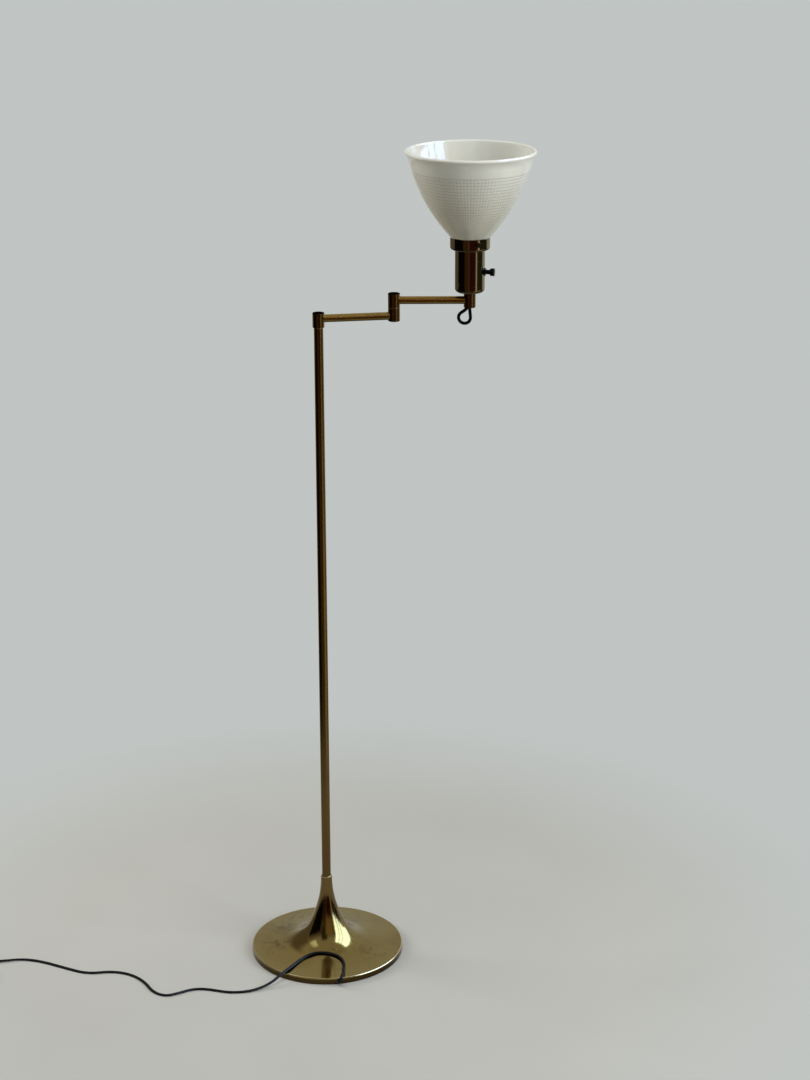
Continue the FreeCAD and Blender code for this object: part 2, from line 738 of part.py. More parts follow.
def glass_reflector():
    """Pressed milk glass: straight fitter neck, shoulder, bowl and rolled lip."""
    outer, outer_foot, outer_top = bowl_arc_edge(0)
    inner, inner_foot, inner_top = bowl_arc_edge(glass_wall)
    neck_bore = fitter_radius - glass_wall
    shoulder = holder_top + free_gap
    slope = math.tan(math.radians(bowl_lip_angle))
    wall_top = lip_centre_height - 0.8 * lip_radius
    wall_rise = wall_top - outer_top[1]
    outer_end = (outer_top[0] + wall_rise * slope, wall_top)
    lip_out = (lip_centre_radius + lip_radius, lip_centre_height)
    lip_crest = (lip_centre_radius, lip_centre_height + lip_radius)
    lip_in = (inner_top[0] + (lip_centre_height - inner_top[1]) * slope, lip_centre_height)
    crest_turn = math.sqrt(0.5) * lip_radius
    crest_mid = (lip_centre_radius + crest_turn, lip_centre_height + crest_turn)
    inside_mid = (lip_in[0] + 0.3 * (lip_crest[0] - lip_in[0]), lip_centre_height + 0.75 * lip_radius)
    foot = holder_floor + glass_foot_gap
    turn = foot + glass_wall / 2
    edges = [
        outer, inner,
        Part.Arc(in_section(neck_bore, turn), in_section(neck_bore + glass_wall / 2, foot),
                 in_section(fitter_radius, turn)).toShape(),
        line((fitter_radius, turn), (fitter_radius, shoulder)),
        line((fitter_radius, shoulder), (shoulder_radius, shoulder)),
        line((shoulder_radius, shoulder), outer_foot),
        line(outer_top, outer_end),
        line(outer_end, lip_out),
        Part.Arc(in_section(*lip_out), in_section(*crest_mid), in_section(*lip_crest)).toShape(),
        Part.Arc(in_section(*lip_crest), in_section(*inside_mid), in_section(*lip_in)).toShape(),
        line(lip_in, inner_top),
        line(inner_foot, (neck_bore, shoulder)),
        line((neck_bore, shoulder), (neck_bore, turn)),
    ]
    return turned_edges(edges)


def bulb_cap():
    """Screw cap with rolled threads and a contact tip."""
    crest = bulb_cap_radius
    root = bulb_cap_radius - bulb_thread_depth
    pitch = 0.75 * bulb_cap_height / bulb_cap_threads
    corners = [(0, bulb_tip_bottom), (bulb_tip_radius, bulb_tip_bottom, 0.4),
               (bulb_tip_radius, bulb_cap_bottom), (root - 2.0, bulb_cap_bottom),
               (root, bulb_cap_bottom + 1.5)]
    for index in range(bulb_cap_threads):
        foot = bulb_cap_bottom + 1.5 + pitch * index
        corners += [(crest, foot + 0.5 * pitch, 0.3), (root, foot + pitch, 0.3)]
    corners += [(root, bulb_cap_top), (0, bulb_cap_top)]
    return turned(corners)


def bulb_glass():
    """Blown envelope, open below where the cap holds it."""
    globe = bulb_cap_top + bulb_globe_rise
    neck_top = bulb_cap_top + bulb_neck_length
    edges = []
    ends = []
    for radius, neck in ((bulb_globe_radius, bulb_neck_radius),
                         (bulb_globe_radius - bulb_wall, bulb_neck_radius - bulb_wall)):
        side = globe - 0.45 * bulb_globe_radius
        side_radius = math.sqrt(radius ** 2 - (globe - side) ** 2)
        low_mid = (0.58 * side_radius + 0.42 * neck, 0.42 * neck_top + 0.58 * side)
        edges.append(Part.Arc(in_section(0, globe + radius), in_section(radius, globe),
                              in_section(side_radius, side)).toShape())
        curve = Part.BSplineCurve()
        curve.interpolate([in_section(side_radius, side), in_section(*low_mid),
                           in_section(neck, neck_top)])
        edges.append(curve.toShape())
        edges.append(line((neck, neck_top), (neck, bulb_cap_top)))
        ends.append((radius, neck))
    edges.append(line((0, globe + ends[0][0]), (0, globe + ends[1][0])))
    edges.append(line((ends[0][1], bulb_cap_top), (ends[1][1], bulb_cap_top)))
    return turned_edges(edges)


# ---- Cord ----
def rounded_path(points, share=0.45):
    """Straight runs joined by tangent arcs as large as their runs allow."""
    edges = []
    radii = []
    at = points[0]
    for before, here, after in zip(points, points[1:], points[2:]):
        back = (before - here).normalize()
        ahead = (after - here).normalize()
        turn = math.pi - back.getAngle(ahead)
        reach = share * min((before - here).Length, (after - here).Length)
        radius = reach / math.tan(turn / 2)
        middle_way = (back + ahead).normalize()
        middle = here + middle_way * (radius / math.cos(turn / 2) - radius)
        edges.append(Part.LineSegment(at, here + back * reach).toShape())
        edges.append(Part.Arc(here + back * reach, middle, here + ahead * reach).toShape())
        at = here + ahead * reach
        radii.append(radius)
    edges.append(Part.LineSegment(at, points[-1]).toShape())
    return edges, radii


def swept_cord(name, edges):
    """Round cord along the edges, its volume set against section times length."""
    path = Part.Wire(edges)
    first = edges[0].valueAt(edges[0].FirstParameter)
    way = edges[0].tangentAt(edges[0].FirstParameter)
    ring = Part.Wire(Part.Circle(first, way, cord_radius).toShape())
    cord = outward(path.makePipeShell([ring], True, False))
    expected = math.pi * cord_radius ** 2 * path.Length
    print(f"{name}: length {path.Length:.0f}, volume over section x length {cord.Volume / expected:.4f}")
    return cord


def out_of_base(distance):
    """Point on the exit's line, at a distance outside the grommet's outer face."""
    face = base_radius + flange_lift + grommet_flange
    return ray(cord_exit_azimuth, face + distance, cord_exit_height)


def lead_points():
    return [out_of_base(0), out_of_base(lead_first_run)] + [Vector(*point) for point in lead_route]


def cord_lead():
    edges, radii = rounded_path(lead_points())
    print("cord_lead radii", [round(radius, 1) for radius in radii])
    return swept_cord("cord_lead", edges)


def cord_loop():
    points = [Vector(x, y, end_knuckle_bottom + z) for x, y, z in loop_route]
    edges, radii = rounded_path(points)
    print("cord_loop radii", [round(radius, 1) for radius in radii])
    return swept_cord("cord_loop", edges)


def cord_inner():
    """The lead inside the lamp: along the weight's channel and up the pole."""
    foot = ray(cord_exit_azimuth, inner_bend_radius, cord_exit_height)
    corner = Vector(0, 0, cord_exit_height)
    centre = foot + UP * inner_bend_radius
    middle = centre + (corner - centre).normalize() * inner_bend_radius
    rise = corner + UP * inner_bend_radius
    top = Vector(0, 0, pole_knuckle_bottom + knuckle_floor)
    return swept_cord("cord_inner", [
        Part.LineSegment(out_of_base(0), foot).toShape(), Part.Arc(foot, middle, rise).toShape(),
        Part.LineSegment(rise, top).toShape()])


def arm_wire(length, height):
    """The lead inside an arm, lying on the bottom of its bore."""
    low = height - arm_bore + cord_radius + free_gap
    reach = knuckle_radius
    return rod(cord_radius, Vector(reach, 0, low), Vector(length - reach, 0, low))


def coil_stations():
    """Where each half turn ends: (distance from the middle, height)."""
    step = coil_pitch / 2
    stations = []
    for index in range(coil_half_turns_in + 1):
        stations.append((coil_outer_radius - step * index, coil_low))
    innermost = stations[-1][0]
    stations.append((innermost - step, coil_low + coil_pitch))
    for index in range(coil_half_turns_out):
        stations.append((innermost + step * (index + 1), coil_low + coil_pitch))
    return stations


def quarter_arc(point, corner, other):
    """Arc from point to other whose tangents meet at corner."""
    back = (point - corner).normalize()
    ahead = (other - corner).normalize()
    turn = math.pi - back.getAngle(ahead)
    radius = (point - corner).Length / math.tan(turn / 2)
    middle = corner + (back + ahead).normalize() * (radius / math.cos(turn / 2) - radius)
    return Part.Arc(point, middle, other).toShape()


def coil_path():
    """The coil's edges in order: straight in, quarter arcs two to each half turn, straight out."""
    stations = coil_stations()
    radius, height = stations[0]
    start = coil_centre + Vector(0, radius, height)
    edges = [Part.LineSegment(start + Vector(2 * cord_radius, 0, 0), start).toShape()]
    side = 1
    for radius, height in stations[1:]:
        side = -side
        end = coil_centre + Vector(0, side * radius, height)
        half = (end - start).Length / 2
        heading = Vector(side * half, 0, 0)
        first_corner = start + heading
        second_corner = end + heading
        halfway = (first_corner + second_corner) * 0.5
        edges.append(quarter_arc(start, first_corner, halfway))
        edges.append(quarter_arc(halfway, second_corner, end))
        start = end
    edges.append(Part.LineSegment(start, start - Vector(coil_tail, 0, 0)).toShape())
    return edges, start - Vector(coil_tail, 0, 0)


def least_gap(edges):
    """Smallest gap between stretches of the coil that are not neighbours along it."""
    step = cord_radius
    points = []
    along = []
    travelled = 0.0
    for edge in edges:
        count = max(2, int(edge.Length / step))
        for index in range(count):
            points.append(edge.valueAt(edge.FirstParameter + (edge.LastParameter - edge.FirstParameter)
                                       * index / count))
            along.append(travelled + edge.Length * index / count)
        travelled += edge.Length
    near = 8 * cord_radius
    least = 1000.0
    for first in range(len(points)):
        for second in range(first + 1, len(points)):
            if along[second] - along[first] > near:
                least = min(least, (points[second] - points[first]).Length)
    return least - 2 * cord_radius


def cord_coil():
    edges, _ = coil_path()
    print(f"cord_coil least gap to itself {least_gap(edges):.2f}")
    return swept_cord("cord_coil", edges)


def plug_end():
    _, end = coil_path()
    return end


def plug_body():
    """Moulded plug, as thick as it needs to lie flat with its lead on the coil's top."""
    end = plug_end()
    half = end.z
    face = end.x - plug_relief_length
    block = Part.makeBox(plug_length, plug_width, 2 * half,
                         Vector(face - plug_length, end.y - plug_width / 2, 0))
    block = block.makeFillet(plug_edge, block.Edges)
    relief = Part.makeCone(cord_radius + free_gap, plug_relief_radius, plug_relief_length + plug_edge,
                           end, Vector(-1, 0, 0))
    return outward(block.fuse(relief).removeSplitter())


def plug_blades():
    end = plug_end()
    tip = end.x - plug_relief_length - plug_length
    blades = []
    for side in (-1, 1):
        blade = Part.makeBox(blade_length, blade_thickness, blade_width,
                             Vector(tip - blade_length, end.y + side * blade_spacing / 2
                                    - blade_thickness / 2, end.z - blade_width / 2))
        ends = [edge for edge in blade.Edges
                if edge.BoundBox.XMax < tip - 0.5 * blade_length and edge.BoundBox.YLength > 0.5 * blade_thickness]
        blades.append(blade.makeFillet(0.3 * blade_width, ends))
    return Part.makeCompound(blades)


# ---- The pieces, each under its own name ----
pole_nut_floor = pole_knuckle_bottom + knuckle_floor
elbow_nut_floor = elbow_upper_bottom + knuckle_floor
seam_radius = knuckle_radius - seam_washer_inset

pieces = {
    "base_shell": base_shell(),
    "base_weight": base_weight(),
    "base_felt": base_felt(),
    "tie_pipe": tie_pipe(),
    "tie_washer": tie_washer(),
    "tie_nut": tie_nut(),
    "pole_foot": pole_foot(),
    "neck_ring": neck_ring(),
    "cord_grommet": cord_grommet(),
    "pole": pole(),
    "pole_spindle": pole_spindle(),
    "pole_seam_washer": seam_washer(pole_knuckle_bottom - seam_washer_thickness, pole_radius),
    "pole_pivot_washer": pivot_washer(pole_nut_floor),
    "pole_pivot_nut": pivot_nut(pole_nut_floor + pivot_washer_thickness),
    "pole_knuckle": knuckle(pole_knuckle_bottom, pole_knuckle_top, lower_arm_height, 1, pivot_bore_radius),
    "pole_knuckle_cap": knuckle_cap(pole_knuckle_top, 1),
    "lower_arm": arm(lower_arm_length, lower_arm_height),
    "elbow_upper_knuckle": on_elbow(
        knuckle(elbow_upper_bottom, elbow_top, upper_arm_height, 1, pivot_bore_radius)),
    "elbow_upper_cap": on_elbow(knuckle_cap(elbow_top, 1)),
    "upper_arm": on_elbow(arm(upper_arm_length, upper_arm_height)),
    "end_knuckle": on_head(end_knuckle()),
    "nipple": on_head(nipple()),
    "cup_washer": on_head(cup_washer()),
    "cup_nut": on_head(cup_nut()),
    "socket_cup": on_head(socket_cup()),
    "insulating_liner": on_head(insulating_liner()),
    "socket_body": on_head(socket_body()),
    "screw_shell": on_head(screw_shell()),
    "centre_contact": on_head(centre_contact()),
    "switch_bushing": on_head(switch_bushing()),
    "switch_shaft": on_head(switch_shaft()),
    "switch_knob": on_head(switch_knob()),
    "shade_holder": on_head(shade_holder()),
    "ring_nut": on_head(ring_nut()),
    "glass_reflector": on_head(glass_reflector()),
    "bulb_cap": on_head(bulb_cap()),
    "bulb_glass": on_head(bulb_glass()),
    "upper_arm_wire": on_elbow(arm_wire(upper_arm_length, upper_arm_height)),
    "lower_arm_wire": arm_wire(lower_arm_length, lower_arm_height),
    "cord_inner": cord_inner(),
    "cord_lead": cord_lead(),
    "cord_coil": cord_coil(),
    "cord_loop": on_head(cord_loop()),
    "plug_body": plug_body(),
    "plug_blades": plug_blades(),
}
elbow_half = knuckle(elbow_seam, elbow_bottom, lower_arm_height, -1, bore_seat_radius)
on_elbow_axis = {
    "elbow_lower_knuckle": elbow_half,
    "elbow_lower_cap": knuckle_cap(elbow_bottom, -1),
    "elbow_pivot": elbow_pivot(),
    "elbow_seam_washer": seam_washer(elbow_seam, seam_radius),
    "elbow_lower_nut": pivot_nut(elbow_seam - knuckle_floor - pivot_nut_height),
    "elbow_pivot_washer": pivot_washer(elbow_nut_floor),
    "elbow_upper_nut": pivot_nut(elbow_nut_floor + pivot_washer_thickness),
}
for name, shape in on_elbow_axis.items():
    shape.translate(Vector(lower_arm_length, 0, 0))
    pieces[name] = shape
for index, azimuth in enumerate(screw_azimuths()[:screws_fitted]):
    pieces[f"shade_screw_{index + 1}"] = on_head(shade_screw(azimuth))

for name, shape in pieces.items():
    if not shape.isValid():
        print(f"{name} is not a valid shape")
    shape.exportStep(f"parts/{name}.step")
    box = shape.BoundBox
    print(f"{name}: {len(shape.Solids)} solid(s), {shape.Volume / 1000:.2f} cm3, "
          f"z {box.ZMin:.1f} to {box.ZMax:.1f}")
print(f"neck {neck_height:.1f}, glass rim radius {glass_rim_radius:.1f} at {glass_rim_height:.1f}")
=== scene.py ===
import math

import bmesh
import bpy
from mathutils import Matrix, Vector


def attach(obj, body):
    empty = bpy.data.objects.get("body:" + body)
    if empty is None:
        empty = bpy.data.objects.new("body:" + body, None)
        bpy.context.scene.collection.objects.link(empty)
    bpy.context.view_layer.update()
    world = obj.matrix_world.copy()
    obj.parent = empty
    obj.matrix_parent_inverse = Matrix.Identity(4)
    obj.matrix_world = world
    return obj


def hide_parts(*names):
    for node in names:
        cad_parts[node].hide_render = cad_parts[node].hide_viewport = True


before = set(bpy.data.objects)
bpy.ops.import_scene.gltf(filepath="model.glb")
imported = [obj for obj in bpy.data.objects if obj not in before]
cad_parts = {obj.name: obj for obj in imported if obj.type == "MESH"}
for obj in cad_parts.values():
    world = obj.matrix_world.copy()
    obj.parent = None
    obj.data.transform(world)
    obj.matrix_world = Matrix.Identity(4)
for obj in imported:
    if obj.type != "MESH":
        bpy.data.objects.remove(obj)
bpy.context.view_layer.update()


# ---- The studio ----
# A pale floor that fades out to the side, a pale room behind and a dim one in front, a tall
# window on the right and soft daylight from above. The camera stands where the photograph's did.
def put(tree, kind, sockets=None, **settings):
    """Adds a node. A socket's value is a plain value, or the output of another node to link from."""
    node = tree.nodes.new(kind)
    for name, value in settings.items():
        setattr(node, name, value)
    for key, value in (sockets or {}).items():
        if isinstance(value, bpy.types.NodeSocket):
            tree.links.new(value, node.inputs[key])
        else:
            node.inputs[key].default_value = value
    return node


def math_node(tree, operation, *values, clamp=False):
    node = put(tree, "ShaderNodeMath", dict(enumerate(values)), operation=operation, use_clamp=clamp)
    return node.outputs[0]


def blend_colour(tree, share, low, high, blend_type="MIX"):
    mixed = put(tree, "ShaderNodeMix", {0: share, 6: low, 7: high}, data_type="RGBA",
                blend_type=blend_type)
    return mixed.outputs[2]


def ramp(tree, value, low, high, start=0.0, end=1.0):
    """A smooth step of value, from start below low to end above high."""
    node = put(tree, "ShaderNodeMapRange", {"Value": value, "From Min": low, "From Max": high,
                                            "To Min": start, "To Max": end},
               interpolation_type="SMOOTHSTEP")
    return node.outputs["Result"]


scene = bpy.context.scene
scene.view_settings.view_transform = "Standard"

lens = bpy.data.cameras.new("camera")
lens.lens = 78.2
lens.sensor_width = 36.0
camera = bpy.data.objects.new("camera", lens)
camera.matrix_world = (Matrix.Translation((-0.402890, -3.536122, 1.9434))
                       @ Matrix.Rotation(math.radians(-8.65), 4, "Z")
                       @ Matrix.Rotation(math.radians(90.0 - 18.81), 4, "X")
                       @ Matrix.Rotation(math.radians(-0.14), 4, "Z"))
scene.collection.objects.link(camera)
scene.camera = camera

WALL = (0.53, 0.56, 0.55, 1.0)
DAYLIGHT = (0.34, 0.34, 0.325, 1.0)
DIM_DAYLIGHT = (0.14, 0.135, 0.118, 1.0)
DIM_ROOM = (0.026, 0.020, 0.014, 1.0)
# What the metal and the glass mirror: parts of the room with soft edges, each from and to an
# azimuth in degrees (0 towards the camera, 90 on its right), from and to an elevation, the
# softness of its edges, and its colour. A later part stands in front of an earlier one.
ROOM_PARTS = {
    "far side of the room": (-180, 180, 4, 99, 8, (0.105, 0.090, 0.066)),
    "ceiling": (-220, 220, 42, 99, 12, (0.42, 0.41, 0.37)),
    "wall on the right": (100, 220, -99, 62, 4, (0.53, 0.56, 0.55)),
    "wall on the left": (-220, -110, -99, 62, 4, (0.50, 0.50, 0.46)),
    "shaded wall": (-164, -110, -99, 50, 8, (0.17, 0.150, 0.120)),
    "floor on the right": (94, 124, -99, -18, 5, (0.15, 0.13, 0.10)),
    "floor on the left": (-130, -104, -99, -18, 5, (0.05, 0.04, 0.03)),
    "dark corner": (-111, -50, -99, 30, 3, (0.006, 0.004, 0.003)),
    "dark doorway": (-42, -6, 24, 56, 6, (0.050, 0.040, 0.025)),
    "lit shelf": (-16, 28, 8, 40, 7, (0.34, 0.25, 0.13)),
    "wooden cupboard": (-50, -21, -16, 16, 3, (0.070, 0.035, 0.012)),
    "its lit edge": (-19, -15, -16, 12, 1.2, (0.150, 0.140, 0.070)),
    "red curtain": (-13, 25, -16, 14, 3, (0.055, 0.008, 0.012)),
    "rug": (-45, 28, -99, -17, 5, (0.085, 0.068, 0.026)),
    "tall window": (36, 46, -16, 30, 1.5, (0.72, 0.66, 0.52)),
    "sunlit floor": (28, 88, -99, -17, 6, (0.52, 0.46, 0.33)),
    "green plant": (57, 92, -16, 6, 4, (0.030, 0.040, 0.020)),
    "bright window": (43, 112, 9, 60, 2.0, (3.9, 5.6, 9.0)),
    "window on the left": (-106, -74, 50, 68, 3, (1.2, 1.4, 1.5)),
}
WINDOW_BARS = (63.0, 79.0)
world = bpy.data.worlds.new("studio")
scene.world = world
world.use_nodes = True
world.cycles.sampling_method = "NONE"
room = world.node_tree
outwards = put(room, "ShaderNodeTexCoord").outputs["Generated"]
direction = put(room, "ShaderNodeSeparateXYZ", {0: outwards})
towards_camera = math_node(room, "MULTIPLY", direction.outputs["Y"], -1.0)
azimuth = math_node(room, "DEGREES", math_node(room, "ARCTAN2", direction.outputs["X"], towards_camera))
elevation = math_node(room, "DEGREES", math_node(room, "ARCSINE", direction.outputs["Z"]))


def between(value, low, high, soft):
    """One between low and high, nought outside, with soft steps."""
    return math_node(room, "MULTIPLY", ramp(room, value, low - soft, low + soft),
                     ramp(room, value, high - soft, high + soft, 1.0, 0.0))


mirrored = DIM_ROOM
for name, (left, right, bottom, top, soft, colour) in ROOM_PARTS.items():
    share = math_node(room, "MULTIPLY", between(azimuth, left, right, soft),
                      between(elevation, bottom, top, soft))
    if name == "bright window":
        for bar in WINDOW_BARS:
            glazed = math_node(room, "SUBTRACT", 1.0, between(azimuth, bar - 1.4, bar + 1.4, 0.7))
            share = math_node(room, "MULTIPLY", share, glazed)
    mirrored = blend_colour(room, share, mirrored, (*colour, 1.0))
ray = put(room, "ShaderNodeLightPath")
seen = math_node(room, "MAXIMUM", ray.outputs["Is Camera Ray"], ray.outputs["Is Transmission Ray"])
daylight = blend_colour(room, ramp(room, elevation, -10.0, 25.0), DIM_DAYLIGHT, DAYLIGHT)
soft_light = blend_colour(room, ray.outputs["Is Glossy Ray"], daylight, mirrored)
room.nodes["Background"].inputs["Strength"].default_value = 1.0
room.links.new(blend_colour(room, seen, soft_light, WALL), room.nodes["Background"].inputs["Color"])


def area_lamp(name, size, place, target, strength, colour):
    """A rectangle of light whose surface is strength times white, and that nothing mirrors."""
    lamp = bpy.data.lights.new(name, "AREA")
    lamp.shape = "RECTANGLE"
    lamp.size, lamp.size_y = size
    lamp.energy = strength * math.pi * size[0] * size[1]
    lamp.color = colour
    stand = bpy.data.objects.new(name, lamp)
    stand.location = place
    stand.rotation_euler = (Vector(target) - Vector(place)).to_track_quat("-Z", "Y").to_euler()
    stand.visible_glossy = False
    stand.visible_camera = False
    stand.visible_transmission = False
    scene.collection.objects.link(stand)


area_lamp("window_light", (1.5, 2.0), (2.35, -1.7, 1.7), (0.1, 0.0, 0.7), 6.4, (0.94, 0.98, 1.0))
area_lamp("pale_wall_behind", (1.2, 1.6), (-2.6, 1.5, 1.7), (0.2, 0.0, 1.2), 9.0, (1.0, 0.98, 0.90))
area_lamp("skylight", (3.0, 3.0), (0.0, -0.6, 6.0), (0.0, 0.0, 0.0), 3.6, (1.0, 0.99, 0.96))

FLOOR_RADIUS = 1.5
floor_mesh = bpy.data.meshes.new("floor")
shaper = bmesh.new()
bmesh.ops.create_circle(shaper, cap_ends=True, segments=96, radius=FLOOR_RADIUS)
shaper.to_mesh(floor_mesh)
shaper.free()
floor = bpy.data.objects.new("floor", floor_mesh)
scene.collection.objects.link(floor)
floor_finish = bpy.data.materials.new("pale_floor")
floor_finish.use_nodes = True
tree = floor_finish.node_tree
tree.nodes.remove(tree.nodes["Principled BSDF"])
place = put(tree, "ShaderNodeTexCoord").outputs["Object"]
mottle = put(tree, "ShaderNodeTexNoise", {"Vector": place, "Scale": 3.0, "Detail": 6.0}).outputs[0]
colour = blend_colour(tree, mottle, (0.46, 0.46, 0.44, 1.0), (0.52, 0.52, 0.50, 1.0))
reach = put(tree, "ShaderNodeVectorMath", {0: place}, operation="LENGTH").outputs["Value"]
faded = ramp(tree, reach, 0.45, 1.10)
floor_coat = put(tree, "ShaderNodeBsdfDiffuse", {"Color": colour})
clear = put(tree, "ShaderNodeBsdfTransparent")
both = put(tree, "ShaderNodeMixShader", {0: faded, 1: floor_coat.outputs[0], 2: clear.outputs[0]})
tree.links.new(both.outputs[0], tree.nodes["Material Output"].inputs["Surface"])
floor_mesh.materials.append(floor_finish)


# ---- Lead ----
# Black flat twin lead. It comes out of the base's rim, loops up over the rim and round the
# dish, and runs away over the floor. The slack is wound in a coil beside its moulded plug.
def new_finish(name, plain):
    """A material whose Principled BSDF has these plain values on its own sockets."""
    material = bpy.data.materials.new(name)
    material.use_nodes = True
    shader = material.node_tree.nodes["Principled BSDF"]
    for socket, value in plain.items():
        shader.inputs[socket].default_value = value
    return material, material.node_tree, shader


def object_place(tree):
    return put(tree, "ShaderNodeTexCoord").outputs["Object"]


def bump_from(tree, shader, height, distance, strength=1.0):
    bump = put(tree, "ShaderNodeBump", {"Height": height, "Distance": distance, "Strength": strength})
    tree.links.new(bump.outputs["Normal"], shader.inputs["Normal"])


def new_group(name, inputs, outputs):
    """A shader node group with float or colour sockets, and its input and output nodes."""
    group = bpy.data.node_groups.new(name, "ShaderNodeTree")
    for label, value in inputs.items():
        kind = "NodeSocketFloat" if isinstance(value, float) else (
            "NodeSocketColor" if len(value) == 4 else "NodeSocketVector")
        group.interface.new_socket(label, in_out="INPUT", socket_type=kind).default_value = value
    for label, kind in outputs.items():
        group.interface.new_socket(label, in_out="OUTPUT", socket_type=kind)
    return group, group.nodes.new("NodeGroupInput").outputs, group.nodes.new("NodeGroupOutput").inputs


# Dust and handling marks: a colour broken up by soft patches, and a roughness to go with it.
grime, given, gives = new_group(
    "dust_and_handling",
    {"Clean": (0.02, 0.02, 0.02, 1.0), "Dusty": (0.06, 0.06, 0.06, 1.0), "Scale": 60.0,
     "Amount": 0.5, "Smooth": 0.35, "Dull": 0.6},
    {"Color": "NodeSocketColor", "Roughness": "NodeSocketFloat", "Height": "NodeSocketFloat"})
here = object_place(grime)
patches = put(grime, "ShaderNodeTexNoise", {"Vector": here, "Scale": given["Scale"], "Detail": 5.0,
                                            "Roughness": 0.65}).outputs[0]
dusty = math_node(grime, "MULTIPLY", ramp(grime, patches, 0.42, 0.72), given["Amount"], clamp=True)
grime.links.new(blend_colour(grime, dusty, given["Clean"], given["Dusty"]), gives["Color"])
dulled = put(grime, "ShaderNodeMapRange", {"Value": dusty, "To Min": given["Smooth"],
                                           "To Max": given["Dull"]})
grime.links.new(dulled.outputs["Result"], gives["Roughness"])
grain = put(grime, "ShaderNodeTexNoise", {"Vector": here, "Scale": 1500.0, "Detail": 2.0}).outputs[0]
grime.links.new(grain, gives["Height"])


def use_group(tree, group, **values):
    node = put(tree, "ShaderNodeGroup", node_tree=group)
    for label, value in values.items():
        socket = node.inputs[label.replace("_", " ")]
        if isinstance(value, bpy.types.NodeSocket):
            tree.links.new(value, socket)
        else:
            socket.default_value = value
    return node.outputs


def black_finish(name, clean, dusty, smooth, dull, scale, coat, shine=0.5):
    material, tree, shader = new_finish(name, {"Specular IOR Level": shine, "Coat Weight": coat,
                                               "Coat Roughness": 0.25})
    marks = use_group(tree, grime, Clean=(*clean, 1.0), Dusty=(*dusty, 1.0), Scale=scale,
                      Smooth=smooth, Dull=dull)
    tree.links.new(marks["Color"], shader.inputs["Base Color"])
    tree.links.new(marks["Roughness"], shader.inputs["Roughness"])
    bump_from(tree, shader, marks["Height"], 0.00003)
    return material


lead_plastic = black_finish("black_lead_plastic", (0.0022, 0.0022, 0.0022), (0.0080, 0.0075, 0.0065),
                            0.40, 0.64, 90.0, 0.0, 0.22)

LEAD_WIDTH = 0.0052
LOBE_RADIUS = 0.00152
LOBE_SPACING = 0.00108     # each conductor's centre from the lead's middle
GROOVE_DEPTH = 0.00098     # half the lead's thickness in its groove
LOBE_STEPS = 8

lead_route = [
    (0.004485, -0.12842, 0.0056), (0.0047, -0.13452, 0.0056), (0.0056, -0.1384, 0.0114),
    (0.0068, -0.1366, 0.0176), (0.0086, -0.1308, 0.0186), (0.0112, -0.1218, 0.0168),
    (0.0146, -0.1060, 0.0166), (0.0172, -0.0886, 0.0176), (0.0142, -0.0736, 0.0199),
    (0.0046, -0.0644, 0.0225), (-0.0106, -0.0596, 0.0244), (-0.0286, -0.0558, 0.0236),
    (-0.0458, -0.0604, 0.0198), (-0.0602, -0.0724, 0.0172), (-0.0746, -0.0880, 0.0162),
    (-0.0896, -0.1034, 0.0146), (-0.1044, -0.1152, 0.0086), (-0.1240, -0.1244, 0.0042),
    (-0.1486, -0.1316, 0.0029), (-0.1796, -0.1292, 0.0027), (-0.2124, -0.1120, 0.0027),
    (-0.2362, -0.1082, 0.0027), (-0.2624, -0.1194, 0.0027), (-0.2834, -0.1244, 0.0027),
    (-0.3024, -0.1068, 0.0027), (-0.3132, -0.0726, 0.0027), (-0.3346, -0.0434, 0.0027),
    (-0.3668, -0.0284, 0.0027), (-0.4064, -0.0306, 0.0027), (-0.4412, -0.0062, 0.0027),
    (-0.4826, 0.0246, 0.0027), (-0.5164, 0.0374, 0.0027), (-0.5482, 0.0332, 0.0027),
    (-0.5768, 0.0345, 0.0027), (-0.6008, 0.0345, 0.0027),
]

# The coil's half turns end at these distances from its middle: spiralling in along the floor,
# then out again on top of that layer.
COIL_MIDDLE = Vector((-0.606, -0.0085, 0.0))
COIL_OUTER = 0.043
HALF_TURN_STEP = 0.00285
FLOOR_LAYER = 0.0027
TOP_LAYER = 0.0084
COIL_TAIL = 0.022
POINTS_PER_HALF_TURN = 8
turn_ends = [(COIL_OUTER - HALF_TURN_STEP * index, FLOOR_LAYER) for index in range(10)]
innermost = turn_ends[-1][0]
turn_ends.append((innermost - HALF_TURN_STEP, TOP_LAYER))
turn_ends += [(innermost + HALF_TURN_STEP * index, TOP_LAYER) for index in range(1, 9)]
outwards = 1.0 / math.cos(math.pi / POINTS_PER_HALF_TURN / 2)
coil_start = len(lead_route)
for index in range(len(turn_ends) - 1):
    for step in range(POINTS_PER_HALF_TURN):
        share = (step + 0.5) / POINTS_PER_HALF_TURN
        angle = math.pi * (0.5 + index + share)
        radius = turn_ends[index][0] * (1 - share) + turn_ends[index + 1][0] * share
        height = turn_ends[index][1] * (1 - share) + turn_ends[index + 1][1] * share
        lead_route.append((COIL_MIDDLE.x + radius * outwards * math.cos(angle),
                           COIL_MIDDLE.y + radius * outwards * math.sin(angle), height))
coil_end = COIL_MIDDLE + Vector((0.0, turn_ends[-1][0], TOP_LAYER))
lead_route.append((coil_end.x - 0.4 * COIL_TAIL, coil_end.y, coil_end.z))
lead_route.append((coil_end.x - COIL_TAIL, coil_end.y, coil_end.z))


